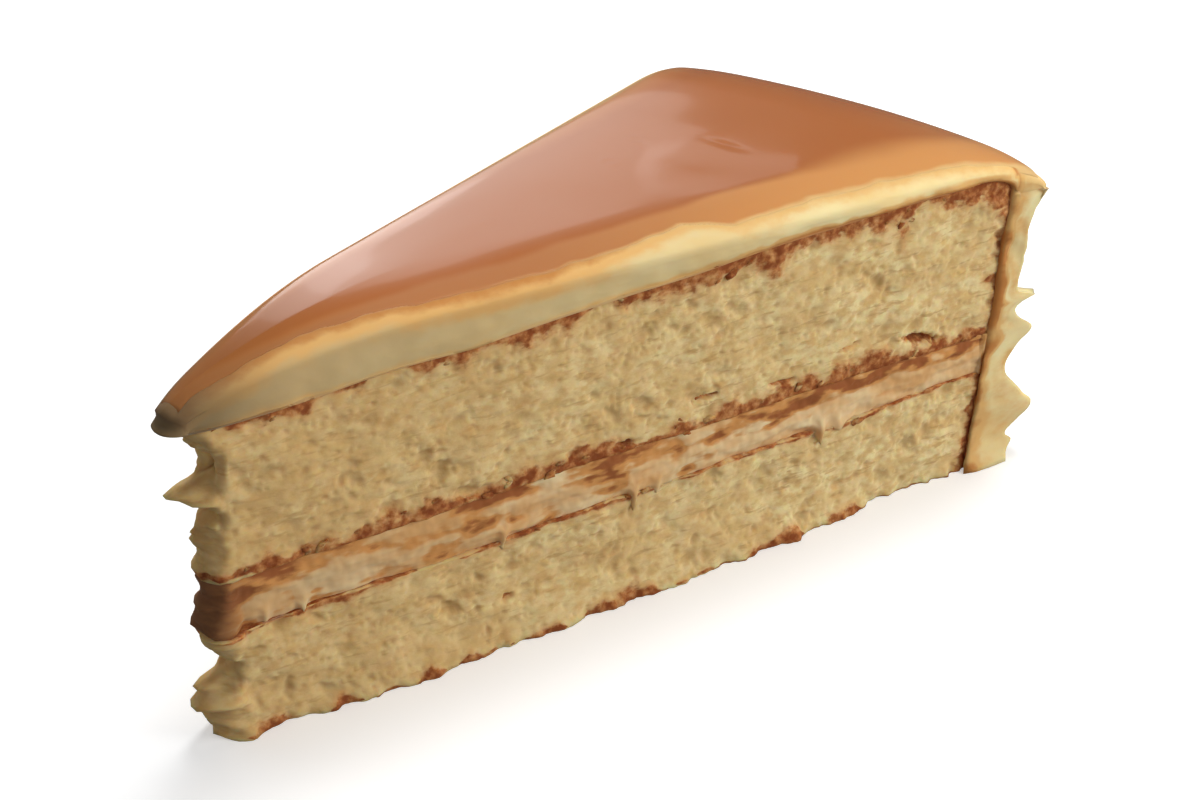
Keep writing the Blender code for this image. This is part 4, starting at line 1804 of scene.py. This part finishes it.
@dataclass(frozen=True)
class Studio:
    """The floor, lights and camera."""

    lens: float = 51.96
    camera_place: Triple = (-0.1549, -0.1409, 0.1371)
    camera_turn: Triple = (60.7, 0.0, -47.6)
    floor_size: float = 8.0
    sky: float = 0.10
    facing: Triple = (0.0, 0.0, 0.05)
    lamps: tuple[Lamp, ...] = (
        Lamp("front_light", (0.30, -0.42, 0.20), 0.26, 0.26, 7.6),
        Lamp("low_light", (-0.06, -0.34, 0.06), 0.60, 0.11, 2.0),
        Lamp("top_light", (0.21, 0.07, 0.58), 0.27, 0.27, 12.5),
        Lamp("back_light", (-0.15, 0.42, 0.14), 0.30, 0.20, 2.4),
        Lamp("card", (0.660, 0.941, 0.446), 0.51, 0.51, 1.08, roll=45.0, mirrored=True),
        Lamp("card_corner", (0.903, 0.680, 0.459), 0.13, 0.03, 1.08, mirrored=True),
        Lamp("card_centre", (0.567, 0.944, 0.345), 0.27, 0.27, 1.3, roll=45.0, mirrored=True),
    )

    def build(self) -> None:
        """Builds the floor, the sky, the lights and the camera."""
        self.floor()
        self.world()
        for lamp in self.lamps:
            self.light(lamp)
        self.camera()
        bpy.context.scene.view_settings.view_transform = "Standard"

    def floor(self) -> None:
        """A white floor, well past the camera's view."""
        deselect_all()
        bpy.ops.mesh.primitive_plane_add(size=self.floor_size)
        floor = bpy.context.active_object
        floor.name = "floor"
        white = (1.0, 1.0, 1.0, 1.0)
        graph = Graph("floor", Roughness=0.9, Emission_Color=white, Emission_Strength=0.40)
        pale = graph.ramp(graph.noise(0.5, 2.0), (0.0, (0.86, 0.86, 0.86)), (1.0, (0.88, 0.88, 0.88)))
        graph.set("Base Color", pale)
        floor.data.materials.append(graph.material)
        floor.visible_diffuse = False
        floor.visible_glossy = False

    def world(self) -> None:
        """A pale, even sky."""
        world = bpy.data.worlds.new("sky")
        world.use_nodes = True
        background = world.node_tree.nodes["Background"]
        background.inputs["Color"].default_value = (1.0, 1.0, 1.0, 1.0)
        background.inputs["Strength"].default_value = self.sky
        bpy.context.scene.world = world

    def light(self, lamp: Lamp) -> None:
        """Sets up a light.

        Args:
            lamp: What it is like.
        """
        made = bpy.data.lights.new(lamp.name, "AREA")
        made.shape = "RECTANGLE"
        made.size = lamp.width
        made.size_y = lamp.height
        made.energy = lamp.radiance * math.pi * lamp.width * lamp.height
        stand = bpy.data.objects.new(lamp.name, made)
        stand.location = lamp.place
        facing = (Vector(self.facing) - stand.location).to_track_quat("-Z", "Y")
        stand.rotation_euler = (facing @ Quaternion((0, 0, 1), math.radians(lamp.roll))).to_euler()
        stand.visible_camera = False
        stand.visible_glossy = lamp.mirrored
        bpy.context.scene.collection.objects.link(stand)

    def camera(self) -> None:
        """The camera, at the slice's near left."""
        lens = bpy.data.cameras.new("camera")
        lens.lens = self.lens
        lens.sensor_width = 36.0
        lens.clip_start = 0.005
        stand = bpy.data.objects.new("camera", lens)
        stand.location = self.camera_place
        stand.rotation_euler = [math.radians(angle) for angle in self.camera_turn]
        bpy.context.scene.collection.objects.link(stand)
        bpy.context.scene.camera = stand


LOWER_SPONGE = SpongeLayer(
    "lower_sponge",
    "sponge_lower",
    "sponge",
    SPONGE,
    along=(21, 21),
    across=(12,),
    levels=(10, 6),
    bottom=lambda x, y: np.zeros_like(x),
    top=CAKE.top_of_lower_sponge,
    crusts=(
        Crust(Face.TOP, 0.6 * MM, 0.6 * MM, 0.25, 0.5 * MM, 0.35, 1.0),
        Crust(Face.BOTTOM, 1.1 * MM, 1.0 * MM, 0.50, 0.7 * MM, 0.0, 2.0),
    ),
    tears=(Tear(38.0 * MM, 6.5 * MM, 1.6 * MM, 0.7 * MM, 1.0 * MM, 0.2),),
    seed=11,
)

UPPER_SPONGE = SpongeLayer(
    "upper_sponge",
    "sponge_upper",
    "sponge",
    Plan(CAKE.sponge_radius + 1.2 * MM, 1.2 * MM, 2.65 * MM),
    along=(21, 21),
    across=(12,),
    levels=(11, 8),
    bottom=CAKE.bottom_of_upper_sponge,
    top=CAKE.top_of_upper_sponge,
    crusts=(
        Crust(Face.TOP, 1.2 * MM, 2.9 * MM, 0.08, 0.3 * MM, -0.1, 3.0),
        Crust(Face.BOTTOM, 1.4 * MM, 1.9 * MM, 0.08, 0.9 * MM, -0.05, 4.0),
    ),
    tears=(
        Tear(104.8 * MM, 24.8 * MM, 5.0 * MM, 1.0 * MM, 2.0 * MM, -0.30),
        Tear(22.0 * MM, 25.2 * MM, 2.4 * MM, 1.8 * MM, 0.75 * MM),
        Tear(55.4 * MM, 23.4 * MM, 2.4 * MM, 0.6 * MM, 1.5 * MM, 0.05),
        Tear(67.8 * MM, 26.4 * MM, 3.0 * MM, 0.5 * MM, 1.5 * MM, 0.1),
        Tear(80.0 * MM, 25.0 * MM, 3.2 * MM, 0.45 * MM, 1.4 * MM, -0.08),
        Tear(92.0 * MM, 27.2 * MM, 2.6 * MM, 0.4 * MM, 1.2 * MM, 0.12),
    ),
    seed=23,
)

FILLING_LAYER = Filling(
    "filling", "cream_filling", "filling", FILLING, along=(21, 21), across=(12,), levels=(6, 4)
)

ICING_LAYER = Icing("icing", "cream_icing", "icing", ICING, along=(16, 14), across=(12, 8), levels=(12,))

GLAZE_LAYER = Glaze("glaze", "honey_glaze", "glaze", ICING, along=(20, 18), across=(12, 10), levels=(2,))

FILLING_CREAM = CreamFinish(
    "filling_cream",
    pale=(0.94, 0.73, 0.42),
    deep=(0.78, 0.44, 0.18),
    honey=(0.70, 0.33, 0.105),
    burnt=(0.38, 0.125, 0.040),
    # Painted shade towards the tip, darkest at its end.
    tip_shade=(0.70, 0.42, 0.18),
    tip_shade_share=0.4,
    tip_shade_part=(-0.075, 0.0),
    tip=(0.27, 0.12, 0.05),
    tip_end_shade_part=(-0.0665, -0.0600),
    smears=0.9,
    streak=(3.0, 3.0, 1.0),
    patch=4 * MM,
)

ICING_CREAM = CreamFinish(
    "icing_cream",
    pale=(0.94, 0.81, 0.44),
    deep=(0.88, 0.67, 0.31),
    honey=(0.82, 0.49, 0.18),
    burnt=(0.60, 0.25, 0.07),
    # Painted shade towards the tip, darkest at its end.
    tip_shade=(0.66, 0.45, 0.21),
    tip_shade_share=0.85,
    tip_shade_part=(-0.074, 0.050),
    tip=(0.19, 0.135, 0.075),
    tip_end_shade_part=(-0.0695, -0.0530),
    smears=0.25,
    streak=(1.8, 1.8, 0.9),
    patch=8 * MM,
)


def main() -> None:
    """Builds and dresses the slice, then its studio."""
    logging.basicConfig(level=logging.INFO, format="%(message)s")
    crumb = CrumbFinish().make()
    finishes = (
        (LOWER_SPONGE, crumb),
        (UPPER_SPONGE, crumb),
        (FILLING_LAYER, FILLING_CREAM.make()),
        (ICING_LAYER, ICING_CREAM.make()),
        (GLAZE_LAYER, GlazeFinish().make()),
    )
    for layer, finish in finishes:
        dress(layer.build(), finish, layer.slot, layer.node)
    dress(Chips().build((LOWER_SPONGE.cut, UPPER_SPONGE.cut)), crumb, LOWER_SPONGE.slot)
    Studio().build()


if __name__ == "__main__":
    main()
